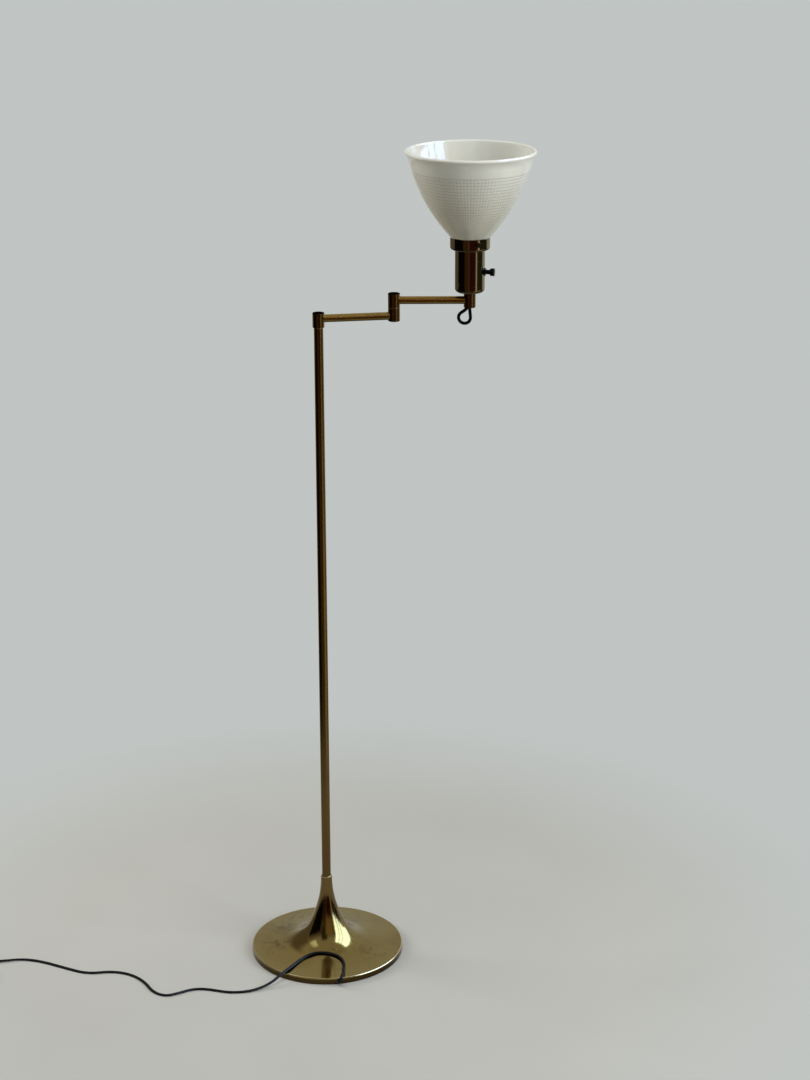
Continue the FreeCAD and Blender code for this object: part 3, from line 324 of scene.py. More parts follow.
def line_of_route(name, route):
    """Points along the smooth line that has the route's points as its control points."""
    curve = bpy.data.curves.new(name, "CURVE")
    curve.dimensions = "3D"
    curve.resolution_u = 8
    spline = curve.splines.new("NURBS")
    spline.points.add(len(route) - 1)
    for point, spot in zip(spline.points, route):
        point.co = (*spot, 1.0)
    spline.order_u = 3
    spline.use_endpoint_u = True
    holder = bpy.data.objects.new(name, curve)
    plain = bpy.data.meshes.new_from_object(holder)
    points = [vertex.co.copy() for vertex in plain.vertices]
    bpy.data.objects.remove(holder)
    bpy.data.curves.remove(curve)
    bpy.data.meshes.remove(plain)
    return points


def heading(line, index):
    return line[min(index + 1, len(line) - 1)] - line[max(index - 1, 0)]


def twin_section():
    """The lead's outline: two round conductors side by side with a groove between them."""
    meet = math.acos(LOBE_SPACING / LOBE_RADIUS)
    outline = []
    for side in (1, -1):
        for step in range(LOBE_STEPS + 1):
            angle = (math.pi - meet) * (2 * step / LOBE_STEPS - 1)
            across = LOBE_SPACING + LOBE_RADIUS * math.cos(angle)
            thick = LOBE_RADIUS * math.sin(angle)
            outline.append((side * across, side * thick))
        outline.append((0.0, side * GROOVE_DEPTH))
    return outline


def twin_lead(name, line, sides, drops, finish):
    """A closed tube of the twin section along line. sides point across the lead's width."""
    section = twin_section()
    mesh = bpy.data.meshes.new(name)
    corners, faces = [], []
    for index, point in enumerate(line):
        ahead = heading(line, index).normalized()
        across = (sides[index] - ahead * sides[index].dot(ahead)).normalized()
        upright = ahead.cross(across)
        for wide, thick in section:
            corners.append(point + across * wide + upright * thick - Vector((0, 0, drops[index])))
    count = len(section)
    for ring in range(len(line) - 1):
        for corner in range(count):
            other = (corner + 1) % count
            faces.append((ring * count + corner, ring * count + other,
                          (ring + 1) * count + other, (ring + 1) * count + corner))
    faces.append(tuple(range(count)))
    faces.append(tuple(range((len(line) - 1) * count, len(line) * count)))
    mesh.from_pydata([tuple(corner) for corner in corners], [], faces)
    piece = bpy.data.objects.new(name, mesh)
    scene.collection.objects.link(piece)
    face_outwards(mesh)
    mesh.shade_smooth()
    mesh.materials.append(finish)
    return piece


def face_outwards(mesh):
    shaper = bmesh.new()
    shaper.from_mesh(mesh)
    bmesh.ops.recalc_face_normals(shaper, faces=shaper.faces)
    shaper.to_mesh(mesh)
    shaper.free()


def lying_sides(line, turns):
    """Across the lead where it lies flat, turned about its own length by turns (radians)."""
    sides = []
    for index, point in enumerate(line):
        ahead = heading(line, index).normalized()
        flat = Vector((0, 0, 1)).cross(ahead)
        if flat.length < 0.35 and sides:
            flat = sides[-1] - ahead * sides[-1].dot(ahead)
        flat.normalize()
        if sides and flat.dot(sides[-1]) < 0:
            flat = -flat
        sides.append(flat)
    return [Matrix.Rotation(turn, 3, heading(line, index)) @ side
            for index, (side, turn) in enumerate(zip(sides, turns))]


def smooth_share(value, low, high):
    share = min(1.0, max(0.0, (value - low) / (high - low)))
    return share * share * (3 - 2 * share)


lead_line = line_of_route("lead_route", lead_route)
travelled = [0.0]
for before, after in zip(lead_line, lead_line[1:]):
    travelled.append(travelled[-1] + (after - before).length)
coil_from = min(travelled[index] for index, point in enumerate(lead_line)
                if (point - Vector(lead_route[coil_start - 1])).length < 0.004)
# It lies flat on the floor and stands on its edge in the coil, where it bends the easy way. Where
# it isn't on its edge, it is thinner than a round lead and settles by what is missing below it.
TURNS_OVER = 0.12          # the length in which it turns on to its edge
SETTLES_FROM = (0.012, 0.045)   # how far from the bush it has left the round form
twists = [0.5 * math.pi * smooth_share(along, coil_from - TURNS_OVER, coil_from)
          for along in travelled]
settled = [(0.5 * LEAD_WIDTH - LOBE_RADIUS - LOBE_SPACING * math.sin(twist))
           * smooth_share(along, *SETTLES_FROM) for along, twist in zip(travelled, twists)]
lead = twin_lead("lead", lead_line, lying_sides(lead_line, twists), settled, lead_plastic)
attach(lead, "stand")
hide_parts("cord_lead", "cord_coil")


# ---- Loop under the lampholder ----
# The same lead leaves the upper arm below its end knuckle, hangs in one small tight loop and
# goes back up through the knuckle into the lampholder.
ELBOW = Vector((0.1186, 0.0, 0.0))
UPPER_ARM_LENGTH = 0.1178
UPPER_ARM_TURN = math.radians(-8.6)
KNUCKLE_UNDERSIDE = 1.1088
# Along the arm past the knuckle's axis, across the arm, and above the knuckle's underside.
loop_route = [
    (-0.0026, 0.0022, 0.0084), (-0.0028, 0.0022, -0.0016), (-0.0092, 0.0018, -0.0067),
    (-0.0161, 0.0013, -0.0110), (-0.0177, 0.0006, -0.0174), (-0.0148, -0.0001, -0.0234),
    (-0.0086, -0.0009, -0.0262), (-0.0021, -0.0018, -0.0243), (0.0017, -0.0026, -0.0186),
    (0.0006, -0.0033, -0.0090), (-0.0002, -0.0036, 0.0004), (-0.0002, -0.0036, 0.0076),
]
arm_turn = Matrix.Rotation(UPPER_ARM_TURN, 3, "Z")
loop_points = [ELBOW + arm_turn @ Vector((UPPER_ARM_LENGTH + along, across, KNUCKLE_UNDERSIDE + above))
               for along, across, above in loop_route]
loop_line = line_of_route("loop_route", [tuple(point) for point in loop_points])
loop_plane = arm_turn @ Vector((0.0, 1.0, 0.0))
loop_sides = []
for index in range(len(loop_line)):
    ahead = heading(loop_line, index)
    twist = 0.35 * math.sin(2.2 * math.pi * index / len(loop_line))
    loop_sides.append(Matrix.Rotation(twist, 3, ahead) @ loop_plane.cross(ahead).normalized())
loop = twin_lead("lead_loop", loop_line, loop_sides, [0.0] * len(loop_line), lead_plastic)
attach(loop, "upper_swing")
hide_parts("cord_loop")


# ---- Plug, lead inside the lamp ----
# A moulded two-blade plug with a tapered relief lies beside the coil. Inside the base and the
# arms run short lengths of the same lead.
def dress(finish, *names):
    """Gives CAD nodes a finish."""
    for name in names:
        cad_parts[name].material_slots[0].material = finish


plug_plastic = black_finish("moulded_plug_plastic", (0.010, 0.010, 0.010), (0.030, 0.029, 0.027),
                            0.42, 0.66, 140.0, 0.0)
dress(plug_plastic, "plug_body")
dress(lead_plastic, "cord_inner", "lower_arm_wire", "upper_arm_wire")

# Fine lines round a turned or spun piece, from a noise of one coordinate.
turning, given, gives = new_group(
    "turning_lines", {"Across": 0.0, "Lines per Metre": 3000.0, "Depth": 1.0},
    {"Height": "NodeSocketFloat"})
lines = put(turning, "ShaderNodeTexNoise",
            {"W": math_node(turning, "MULTIPLY", given["Across"], given["Lines per Metre"]),
             "Scale": 1.0, "Detail": 3.0, "Roughness": 0.7}, noise_dimensions="1D").outputs[0]
turning.links.new(math_node(turning, "MULTIPLY", lines, given["Depth"]), gives["Height"])

# Age on lacquered brass: broad brown patches, small dark spots and a duller gloss on both.
ageing, given, gives = new_group(
    "aged_brass",
    {"Polished": (0.42, 0.32, 0.14, 1.0), "Tarnished": (0.20, 0.13, 0.05, 1.0),
     "Spots": (0.08, 0.05, 0.02, 1.0), "Patch Scale": 14.0, "Patches": 0.5, "Spot Scale": 120.0,
     "Spotting": 0.5, "Smooth": 0.12, "Dull": 0.34},
    {"Color": "NodeSocketColor", "Roughness": "NodeSocketFloat", "Height": "NodeSocketFloat"})
here = object_place(ageing)
cloud = put(ageing, "ShaderNodeTexNoise", {"Vector": here, "Scale": given["Patch Scale"], "Detail": 7.0,
                                           "Roughness": 0.62, "Distortion": 0.6}).outputs[0]
patch = math_node(ageing, "MULTIPLY", ramp(ageing, cloud, 0.45, 0.70), given["Patches"], clamp=True)
fleck = put(ageing, "ShaderNodeTexNoise", {"Vector": here, "Scale": given["Spot Scale"], "Detail": 3.0,
                                           "Roughness": 0.55}).outputs[0]
spread = put(ageing, "ShaderNodeTexNoise", {"Vector": here, "Scale": 22.0, "Detail": 2.0}).outputs[0]
spot = math_node(ageing, "MULTIPLY", ramp(ageing, fleck, 0.60, 0.72), ramp(ageing, spread, 0.50, 0.66))
spot = math_node(ageing, "MULTIPLY", spot, given["Spotting"], clamp=True)
coloured = blend_colour(ageing, patch, given["Polished"], given["Tarnished"])
ageing.links.new(blend_colour(ageing, spot, coloured, given["Spots"]), gives["Color"])
marked = math_node(ageing, "MAXIMUM", math_node(ageing, "MULTIPLY", patch, 0.6), spot)
dulled = put(ageing, "ShaderNodeMapRange", {"Value": marked, "To Min": given["Smooth"],
                                            "To Max": given["Dull"]}).outputs["Result"]
haze = put(ageing, "ShaderNodeTexNoise", {"Vector": here, "Scale": 260.0, "Detail": 4.0}).outputs[0]
ageing.links.new(math_node(ageing, "ADD", dulled, math_node(ageing, "MULTIPLY", haze, 0.05)),
                 gives["Roughness"])
ageing.links.new(math_node(ageing, "MULTIPLY", marked, -1.0), gives["Height"])

# Edges rubbed bright by handling, with a painted highlight: where a bevel of this radius would turn the
# surface.
edge_wear_and_highlight, given, gives = new_group("rubbed_and_highlit_edges", {"Radius": 0.0006, "Amount": 1.0},
                                  {"Mask": "NodeSocketFloat"})
bevel = put(edge_wear_and_highlight, "ShaderNodeBevel", {"Radius": given["Radius"]}, samples=6)
true_normal = put(edge_wear_and_highlight, "ShaderNodeNewGeometry").outputs["Normal"]
turned = put(edge_wear_and_highlight, "ShaderNodeVectorMath", {0: bevel.outputs[0], 1: true_normal},
             operation="DOT_PRODUCT").outputs["Value"]
edge = ramp(edge_wear_and_highlight, math_node(edge_wear_and_highlight, "SUBTRACT", 1.0, turned), 0.01, 0.14)
breakup = put(edge_wear_and_highlight, "ShaderNodeTexNoise", {"Vector": object_place(edge_wear_and_highlight), "Scale": 180.0,
                                              "Detail": 3.0}).outputs[0]
edge = math_node(edge_wear_and_highlight, "MULTIPLY", edge, ramp(edge_wear_and_highlight, breakup, 0.30, 0.55, 0.35, 1.0))
edge_wear_and_highlight.links.new(math_node(edge_wear_and_highlight, "MULTIPLY", edge, given["Amount"], clamp=True), gives["Mask"])

# Painted shade: what faces down is painted darker, a mask from the surface's own slope.
facing_down_shade, given, gives = new_group("painted_shade_underneath", {"Level": 0.0, "Down": -0.4},
                                  {"Mask": "NodeSocketFloat"})
facing = put(facing_down_shade, "ShaderNodeNewGeometry").outputs["Normal"]
slope = put(facing_down_shade, "ShaderNodeSeparateXYZ", {0: facing}).outputs["Z"]
facing_down_shade.links.new(ramp(facing_down_shade, slope, given["Level"], given["Down"]), gives["Mask"])


def radius_of(tree, place):
    """The distance from the lamp's upright axis."""
    flat = put(tree, "ShaderNodeVectorMath", {0: place, 1: (1.0, 1.0, 0.0)}, operation="MULTIPLY")
    return put(tree, "ShaderNodeVectorMath", {0: flat.outputs[0]}, operation="LENGTH").outputs["Value"]


def brass_finish(name, polished, tarnished, spots, smooth, dull, patches=0.5, patch_scale=14.0,
                 spotting=0.5, spot_scale=120.0, edge_wear_highlight=0.6, rubbed_highlight=(0.62, 0.47, 0.20), lines="Z",
                 lines_per_metre=3000.0, line_depth=0.000004, down_shade=0.0, plain=None):
    """Brass with age, turning marks across one coordinate, edges rubbed bright with a painted highlight,
    painted shade underneath.
    """
    material, tree, shader = new_finish(name, {"Metallic": 1.0, **(plain or {})})
    age = use_group(tree, ageing, Polished=(*polished, 1.0), Tarnished=(*tarnished, 1.0),
                    Spots=(*spots, 1.0), Patch_Scale=patch_scale, Patches=patches,
                    Spot_Scale=spot_scale, Spotting=spotting, Smooth=smooth, Dull=dull)
    colour = age["Color"]
    if edge_wear_highlight:
        mask = use_group(tree, edge_wear_and_highlight, Amount=edge_wear_highlight)["Mask"]
        colour = blend_colour(tree, mask, colour, (*rubbed_highlight, 1.0))
    # Painted shade: what faces down takes the spots' dark colour.
    if down_shade:
        mask = math_node(tree, "MULTIPLY", use_group(tree, facing_down_shade)["Mask"], down_shade)
        colour = blend_colour(tree, mask, colour, (*spots, 1.0))
    tree.links.new(colour, shader.inputs["Base Color"])
    tree.links.new(age["Roughness"], shader.inputs["Roughness"])
    here = object_place(tree)
    if lines == "RADIUS":
        across = radius_of(tree, here)
    else:
        across = put(tree, "ShaderNodeSeparateXYZ", {0: here}).outputs[lines]
    marks = use_group(tree, turning, Across=across, Lines_per_Metre=lines_per_metre)["Height"]
    bump_from(tree, shader, marks, line_depth)
    return material


blade_brass = brass_finish("plug_blade_brass", (0.62, 0.50, 0.24), (0.35, 0.26, 0.12),
                           (0.15, 0.10, 0.05), 0.22, 0.42, edge_wear_highlight=0.0)
dress(blade_brass, "plug_blades")


# ---- Base ----
# A trumpet spun from brass sheet, polished and lacquered, over a cast-iron weight on a felt. The
# lacquer has gone in places: brown patches and small spots on the dish. The rim's side has painted shade.
base_brass = brass_finish("polished_base_brass", (0.305, 0.222, 0.074), (0.225, 0.152, 0.048),
                          (0.085, 0.052, 0.022), 0.09, 0.34, patches=0.6, patch_scale=13.0,
                          spotting=0.9, spot_scale=190.0, edge_wear_highlight=0.0, lines="RADIUS",
                          lines_per_metre=2200.0, line_depth=0.000002)
tree = base_brass.node_tree
shader = tree.nodes["Principled BSDF"]
here = object_place(tree)
height = put(tree, "ShaderNodeSeparateXYZ", {0: here}).outputs["Z"]
radius = radius_of(tree, here)
colour = shader.inputs["Base Color"].links[0].from_socket
# Painted shade darkens the neck and the rim's side, and a painted highlight brightens the rim's
# rounding. Each pair is where that starts and where it is full, up the base or out from its axis.
NECK_SHADE_SPAN = (0.030, 0.085)
RIM_SIDE_ENDS = (0.0082, 0.0098)
ROUNDING_RISES = (0.0098, 0.0104)
ROUNDING_OUT = (0.1249, 0.1256)
PAINTED_NECK_SHADE = (0.185, 0.122, 0.044, 1.0)
PAINTED_RIM_SIDE_SHADE = (0.075, 0.048, 0.017, 1.0)
PAINTED_RIM_HIGHLIGHT = (0.60, 0.49, 0.26, 1.0)
colour = blend_colour(tree, ramp(tree, height, *NECK_SHADE_SPAN), colour, PAINTED_NECK_SHADE)
colour = blend_colour(tree, ramp(tree, height, *RIM_SIDE_ENDS, 1.0, 0.0), colour, PAINTED_RIM_SIDE_SHADE)
rubbed_highlight = math_node(tree, "MULTIPLY", ramp(tree, radius, *ROUNDING_OUT), ramp(tree, height, *ROUNDING_RISES))
colour = blend_colour(tree, rubbed_highlight, colour, PAINTED_RIM_HIGHLIGHT)
# Stains left of and behind the flare: middle, reach and strength of each.
STAINS = (((-0.058, 0.052, 0.015), 0.040, 0.95), ((-0.082, -0.004, 0.013), 0.034, 0.75),
          ((-0.040, 0.092, 0.013), 0.026, 0.7), ((0.050, 0.070, 0.013), 0.030, 0.6),
          ((0.070, -0.050, 0.012), 0.040, 0.5))
STAIN_BROWN = (0.098, 0.064, 0.028, 1.0)
blotch = put(tree, "ShaderNodeTexNoise", {"Vector": here, "Scale": 85.0, "Detail": 7.0,
                                          "Roughness": 0.75}).outputs[0]
for middle, reach, strength in STAINS:
    away = put(tree, "ShaderNodeVectorMath", {0: here, 1: middle}, operation="DISTANCE")
    stain = math_node(tree, "MULTIPLY",
                      ramp(tree, away.outputs["Value"], 0.15 * reach, reach, strength, 0.0),
                      ramp(tree, blotch, 0.44, 0.66))
    colour = blend_colour(tree, stain, colour, STAIN_BROWN)
tree.links.new(colour, shader.inputs["Base Color"])
dress(base_brass, "base_shell")

weight_iron, tree, shader = new_finish("cast_iron", {"Metallic": 0.6,
                                                     "Base Color": (0.06, 0.055, 0.05, 1.0)})
grit = put(tree, "ShaderNodeTexNoise", {"Vector": object_place(tree), "Scale": 420.0,
                                        "Detail": 5.0}).outputs[0]
tree.links.new(ramp(tree, grit, 0.3, 0.7, 0.55, 0.85), shader.inputs["Roughness"])
bump_from(tree, shader, grit, 0.0006)
dress(weight_iron, "base_weight")

felt, tree, shader = new_finish("green_black_felt", {"Roughness": 0.95, "Sheen Weight": 0.6,
                                                     "Sheen Roughness": 0.5})
fibre = put(tree, "ShaderNodeTexNoise", {"Vector": object_place(tree), "Scale": 900.0, "Detail": 6.0,
                                         "Roughness": 0.8}).outputs[0]
tree.links.new(blend_colour(tree, fibre, (0.012, 0.016, 0.012, 1.0), (0.040, 0.048, 0.038, 1.0)),
               shader.inputs["Base Color"])
bump_from(tree, shader, fibre, 0.0005)
dress(felt, "base_felt")

grommet_rubber = black_finish("grommet_rubber", (0.008, 0.008, 0.008), (0.022, 0.021, 0.020),
                              0.45, 0.7, 200.0, 0.0)
dress(grommet_rubber, "cord_grommet")


# ---- Pole and its ring ----
# One slim brass tube with an antique lacquer, darker than the base, that stands in the trumpet's
# neck. The ring that closes the neck around it is rubbed bright, with a painted highlight on its edges.
pole_brass = brass_finish("antique_pole_brass", (0.265, 0.168, 0.060), (0.190, 0.112, 0.038),
                          (0.060, 0.034, 0.014), 0.14, 0.26, patches=0.6, patch_scale=7.0,
                          spotting=0.22, spot_scale=260.0, edge_wear_highlight=0.0, lines_per_metre=5000.0,
                          line_depth=0.0000006)
tree = pole_brass.node_tree
shader = tree.nodes["Principled BSDF"]
# Towards its foot it is painted darker, as shade: from here up to here it clears.
FOOT_SHADE_CLEARS = (0.12, 0.62)
height = put(tree, "ShaderNodeSeparateXYZ", {0: object_place(tree)}).outputs["Z"]
foot_shaded = blend_colour(tree, ramp(tree, height, *FOOT_SHADE_CLEARS, 0.75, 0.0),
                       shader.inputs["Base Color"].links[0].from_socket, (0.085, 0.052, 0.017, 1.0))
tree.links.new(foot_shaded, shader.inputs["Base Color"])
dress(pole_brass, "pole")
ring_brass = brass_finish("rubbed_highlit_ring_brass", (0.42, 0.32, 0.14), (0.28, 0.20, 0.085),
                          (0.12, 0.08, 0.035), 0.16, 0.34, patches=0.4, edge_wear_highlight=0.7,
                          rubbed_highlight=(0.66, 0.54, 0.29))
dress(ring_brass, "neck_ring")


# ---- Swivel knuckles ----
# Turned brass knuckles at the pole's top, at the elbow, where one half turns on the other, and
# under the lampholder. Each has a slightly domed cap that has gone dark.
# The knuckles' undersides are painted darker as shade, and their rubbed edges carry a painted highlight.
knuckle_brass = brass_finish("antique_knuckle_brass", (0.265, 0.160, 0.055), (0.160, 0.088, 0.030),
                             (0.050, 0.028, 0.012), 0.13, 0.30, patches=0.6, patch_scale=40.0,
                             spotting=0.5, spot_scale=420.0, edge_wear_highlight=0.55, rubbed_highlight=(0.62, 0.46, 0.19),
                             lines_per_metre=9000.0, line_depth=0.0000008, down_shade=0.9)
dress(knuckle_brass, "pole_knuckle", "elbow_lower_knuckle", "elbow_upper_knuckle", "end_knuckle")
cap_brass = brass_finish("dark_cap_brass", (0.034, 0.022, 0.012), (0.022, 0.014, 0.009),
                         (0.012, 0.008, 0.005), 0.34, 0.50, patches=0.6, patch_scale=60.0,
                         edge_wear_highlight=0.35, rubbed_highlight=(0.20, 0.14, 0.06), lines="X", lines_per_metre=6000.0,
                         line_depth=0.000001, plain={"Specular Tint": (0.16, 0.13, 0.10, 1.0)})
dress(cap_brass, "pole_knuckle_cap", "elbow_lower_cap", "elbow_upper_cap")


# ---- Arms ----
# Two straight brass tubes with a satin brush along their length, between the knuckles.
brushing, given, gives = new_group(
    "brushed_along", {"Turn": (0.0, 0.0, 0.0), "Fine": (9.0, 900.0, 900.0), "Depth": 1.0},
    {"Height": "NodeSocketFloat"})
turned = put(brushing, "ShaderNodeVectorRotate", {"Vector": object_place(brushing),
                                                  "Rotation": given["Turn"]}, rotation_type="EULER_XYZ")
stretched = put(brushing, "ShaderNodeVectorMath", {0: turned.outputs[0], 1: given["Fine"]},
                operation="MULTIPLY")
hairs = put(brushing, "ShaderNodeTexNoise", {"Vector": stretched.outputs[0], "Scale": 1.0, "Detail": 4.0,
                                             "Roughness": 0.6}).outputs[0]
brushing.links.new(math_node(brushing, "MULTIPLY", hairs, given["Depth"]), gives["Height"])


def arm_finish(name, turn, polished, tarnished):
    """Satin brass brushed along an arm that stands turn radians round, with painted shade underneath."""
    material, tree, shader = new_finish(name, {"Metallic": 1.0})
    age = use_group(tree, ageing, Polished=(*polished, 1.0), Tarnished=(*tarnished, 1.0),
                    Spots=(0.06, 0.035, 0.014, 1.0), Patch_Scale=26.0, Patches=0.6, Spot_Scale=300.0,
                    Spotting=0.4, Smooth=0.20, Dull=0.30)
    # Painted shade: what faces down is painted darker.
    under = use_group(tree, facing_down_shade, Level=-0.15, Down=-0.75)["Mask"]
    colour = blend_colour(tree, under, age["Color"], (0.035, 0.022, 0.010, 1.0))
    tree.links.new(colour, shader.inputs["Base Color"])
    tree.links.new(age["Roughness"], shader.inputs["Roughness"])
    hairs = use_group(tree, brushing, Turn=(0.0, 0.0, -turn))["Height"]
    bump_from(tree, shader, hairs, 0.0000025)
    return material


dress(arm_finish("satin_lower_arm", 0.0, (0.42, 0.285, 0.085), (0.30, 0.190, 0.060)), "lower_arm")
dress(arm_finish("satin_upper_arm", UPPER_ARM_TURN, (0.42, 0.255, 0.075), (0.29, 0.170, 0.050)),
      "upper_arm")


# ---- Pivots, nuts and washers ----
# Steel and brass that hold the joints together inside the knuckles, the base and the lampholder.
inner_brass = brass_finish("plain_inner_brass", (0.50, 0.38, 0.17), (0.34, 0.25, 0.11),
                           (0.16, 0.11, 0.05), 0.24, 0.42, edge_wear_highlight=0.0)
steel, tree, shader = new_finish("zinc_steel", {"Metallic": 1.0})
marks = use_group(tree, grime, Clean=(0.50, 0.50, 0.49, 1.0), Dusty=(0.32, 0.31, 0.29, 1.0), Scale=160.0,
                  Smooth=0.28, Dull=0.5)
tree.links.new(marks["Color"], shader.inputs["Base Color"])
tree.links.new(marks["Roughness"], shader.inputs["Roughness"])
phenolic = black_finish("brown_black_phenolic", (0.014, 0.011, 0.009), (0.035, 0.030, 0.026),
                        0.25, 0.45, 120.0, 0.2)
liner_board, tree, shader = new_finish("grey_liner_board", {"Roughness": 0.9})
pulp = put(tree, "ShaderNodeTexNoise", {"Vector": object_place(tree), "Scale": 500.0,
                                        "Detail": 6.0}).outputs[0]
tree.links.new(blend_colour(tree, pulp, (0.16, 0.15, 0.13, 1.0), (0.30, 0.28, 0.25, 1.0)),
               shader.inputs["Base Color"])
bump_from(tree, shader, pulp, 0.0002)


# ---- Lampholder ----
# A drawn brass cup and a flared holder for the glass, plated and very glossy, gone dark brown.
# Two thumb screws hold the glass, and a black fluted knob works the switch.
# The cup's underside is painted darker as shade.
cup_brass = brass_finish("dark_plated_cup_brass", (0.290, 0.230, 0.130), (0.230, 0.170, 0.090),
                         (0.050, 0.032, 0.018), 0.045, 0.10, patches=0.5, patch_scale=30.0,
                         spotting=0.5, spot_scale=520.0, edge_wear_highlight=0.0,
                         lines_per_metre=12000.0, line_depth=0.0000003, down_shade=0.9)
dress(cup_brass, "socket_cup", "shade_holder", "cup_washer")
screw_brass = brass_finish("thumb_screw_brass", (0.060, 0.042, 0.024), (0.034, 0.023, 0.013),
                           (0.014, 0.010, 0.006), 0.14, 0.28, patch_scale=90.0, edge_wear_highlight=0.3,
                           rubbed_highlight=(0.30, 0.23, 0.12))
dress(screw_brass, "shade_screw_1", "shade_screw_2")
knob_plastic = black_finish("knob_phenolic", (0.0015, 0.0015, 0.0016), (0.0050, 0.0048, 0.0045),
                            0.26, 0.50, 240.0, 0.0, 0.2)
dress(knob_plastic, "switch_knob", "switch_bushing")


# ---- Reflector ----
# Pressed opal glass with a rolled lip, standing in the holder. Its outside has a plain band under
# the lip, and below it a waffle of small pillows between grooves that fades towards the foot.
HEAD = ELBOW + arm_turn @ Vector((UPPER_ARM_LENGTH, 0.0, 0.0))
GLASS_WALL = 0.003
HOLDER_FLOOR = 1.2013
HOLDER_TOP = 1.2199
NECK_RADIUS = 0.0286
SHOULDER_RADIUS = 0.0324
BOWL_ARC = 0.294
BOWL_FOOT = (0.034, 1.2225)
FOOT_ANGLE = math.radians(41.0)
LIP_ANGLE = math.radians(15.5)
LIP_RADIUS = 0.0031
LIP_OVERHANG = 0.0024
LIP_RISE = 0.0137
PLAIN_BAND = 0.0262        # from the rim down to the first groove, along the wall
CELLS_ROUND = 104
CELL_HEIGHT = 0.0054
CELL_ROWS = 18
STEPS_PER_CELL = 5
ROW_RELIEF = 0.00062       # depth of the grooves round the bowl
COLUMN_RELIEF = 0.00036    # and of those down it
STRONG_TO = 0.060          # where the pattern starts to fade, below the first groove

bowl_centre = (BOWL_FOOT[0] - BOWL_ARC * math.cos(FOOT_ANGLE),
               BOWL_FOOT[1] + BOWL_ARC * math.sin(FOOT_ANGLE))


def on_bowl(angle, inset=0.0):
    return (bowl_centre[0] + (BOWL_ARC - inset) * math.cos(angle),
            bowl_centre[1] - (BOWL_ARC - inset) * math.sin(angle))


arc_top = on_bowl(LIP_ANGLE)
lip_height = arc_top[1] + LIP_RISE
lip_middle = arc_top[0] + LIP_RISE * math.tan(LIP_ANGLE) + LIP_OVERHANG - LIP_RADIUS
wall_top = lip_height - 0.8 * LIP_RADIUS
wall_end = (arc_top[0] + (wall_top - arc_top[1]) * math.tan(LIP_ANGLE), wall_top)
straight = math.hypot(wall_end[0] - arc_top[0], wall_end[1] - arc_top[1])
first_groove = LIP_ANGLE + (PLAIN_BAND - straight) / BOWL_ARC

# The section, from the neck's foot up the outside, over the lip and down the inside. Each point
# also says how far it lies below the first groove, and -1 inside, where there is no pattern.
section = [(NECK_RADIUS - 0.5 * GLASS_WALL, HOLDER_FLOOR + 0.0001, -1.0),
           (NECK_RADIUS - 0.00044, HOLDER_FLOOR + 0.00054, -1.0),
           (NECK_RADIUS, HOLDER_FLOOR + 0.0016, -1.0),
           (NECK_RADIUS, HOLDER_TOP - 0.0015, -1.0), (NECK_RADIUS, HOLDER_TOP + 0.0003, -1.0),
           (NECK_RADIUS + 0.0004, HOLDER_TOP + 0.0004, -1.0),
           (SHOULDER_RADIUS - 0.0004, HOLDER_TOP + 0.0004, -1.0),
           (SHOULDER_RADIUS, HOLDER_TOP + 0.0006, -1.0)]
pattern_end = first_groove + CELL_ROWS * CELL_HEIGHT / BOWL_ARC
foot_steps = 6
for step in range(foot_steps):
    angle = FOOT_ANGLE + (pattern_end - FOOT_ANGLE) * step / foot_steps
    section.append((*on_bowl(angle), -1.0))
for step in range(CELL_ROWS * STEPS_PER_CELL, -1, -1):
    angle = first_groove + step * CELL_HEIGHT / STEPS_PER_CELL / BOWL_ARC
    section.append((*on_bowl(angle), (angle - first_groove) * BOWL_ARC))
for step in (0.00045, 0.0009, 0.0014):
    section.append((*on_bowl(first_groove - step / BOWL_ARC), -step))
for step in range(1, 5):
    section.append((*on_bowl(first_groove + (LIP_ANGLE - first_groove) * step / 4), -0.5))
section.append((*wall_end, -0.5))
for degrees in range(-30, 91, 20):
    turn = math.radians(degrees)
    section.append((lip_middle + LIP_RADIUS * math.cos(turn),
                    lip_height + LIP_RADIUS * math.sin(turn), -0.5))
inner_top = on_bowl(LIP_ANGLE, GLASS_WALL)
lip_inside = (inner_top[0] + (lip_height - inner_top[1]) * math.tan(LIP_ANGLE), lip_height)
for share, rise in ((0.72, 0.94), (0.42, 0.80), (0.20, 0.58), (0.06, 0.30), (0.0, 0.0)):
    section.append((lip_inside[0] + share * (lip_middle - lip_inside[0]),
                    lip_height + rise * LIP_RADIUS, -1.0))
for step in range(19):
    section.append((*on_bowl(LIP_ANGLE + (FOOT_ANGLE - LIP_ANGLE) * step / 18, GLASS_WALL), -1.0))
section += [(NECK_RADIUS - GLASS_WALL + 0.0006, HOLDER_TOP + 0.0012, -1.0),
            (NECK_RADIUS - GLASS_WALL, HOLDER_TOP, -1.0),
            (NECK_RADIUS - GLASS_WALL, HOLDER_FLOOR + 0.0016, -1.0),
            (NECK_RADIUS - GLASS_WALL + 0.00044, HOLDER_FLOOR + 0.00054, -1.0)]

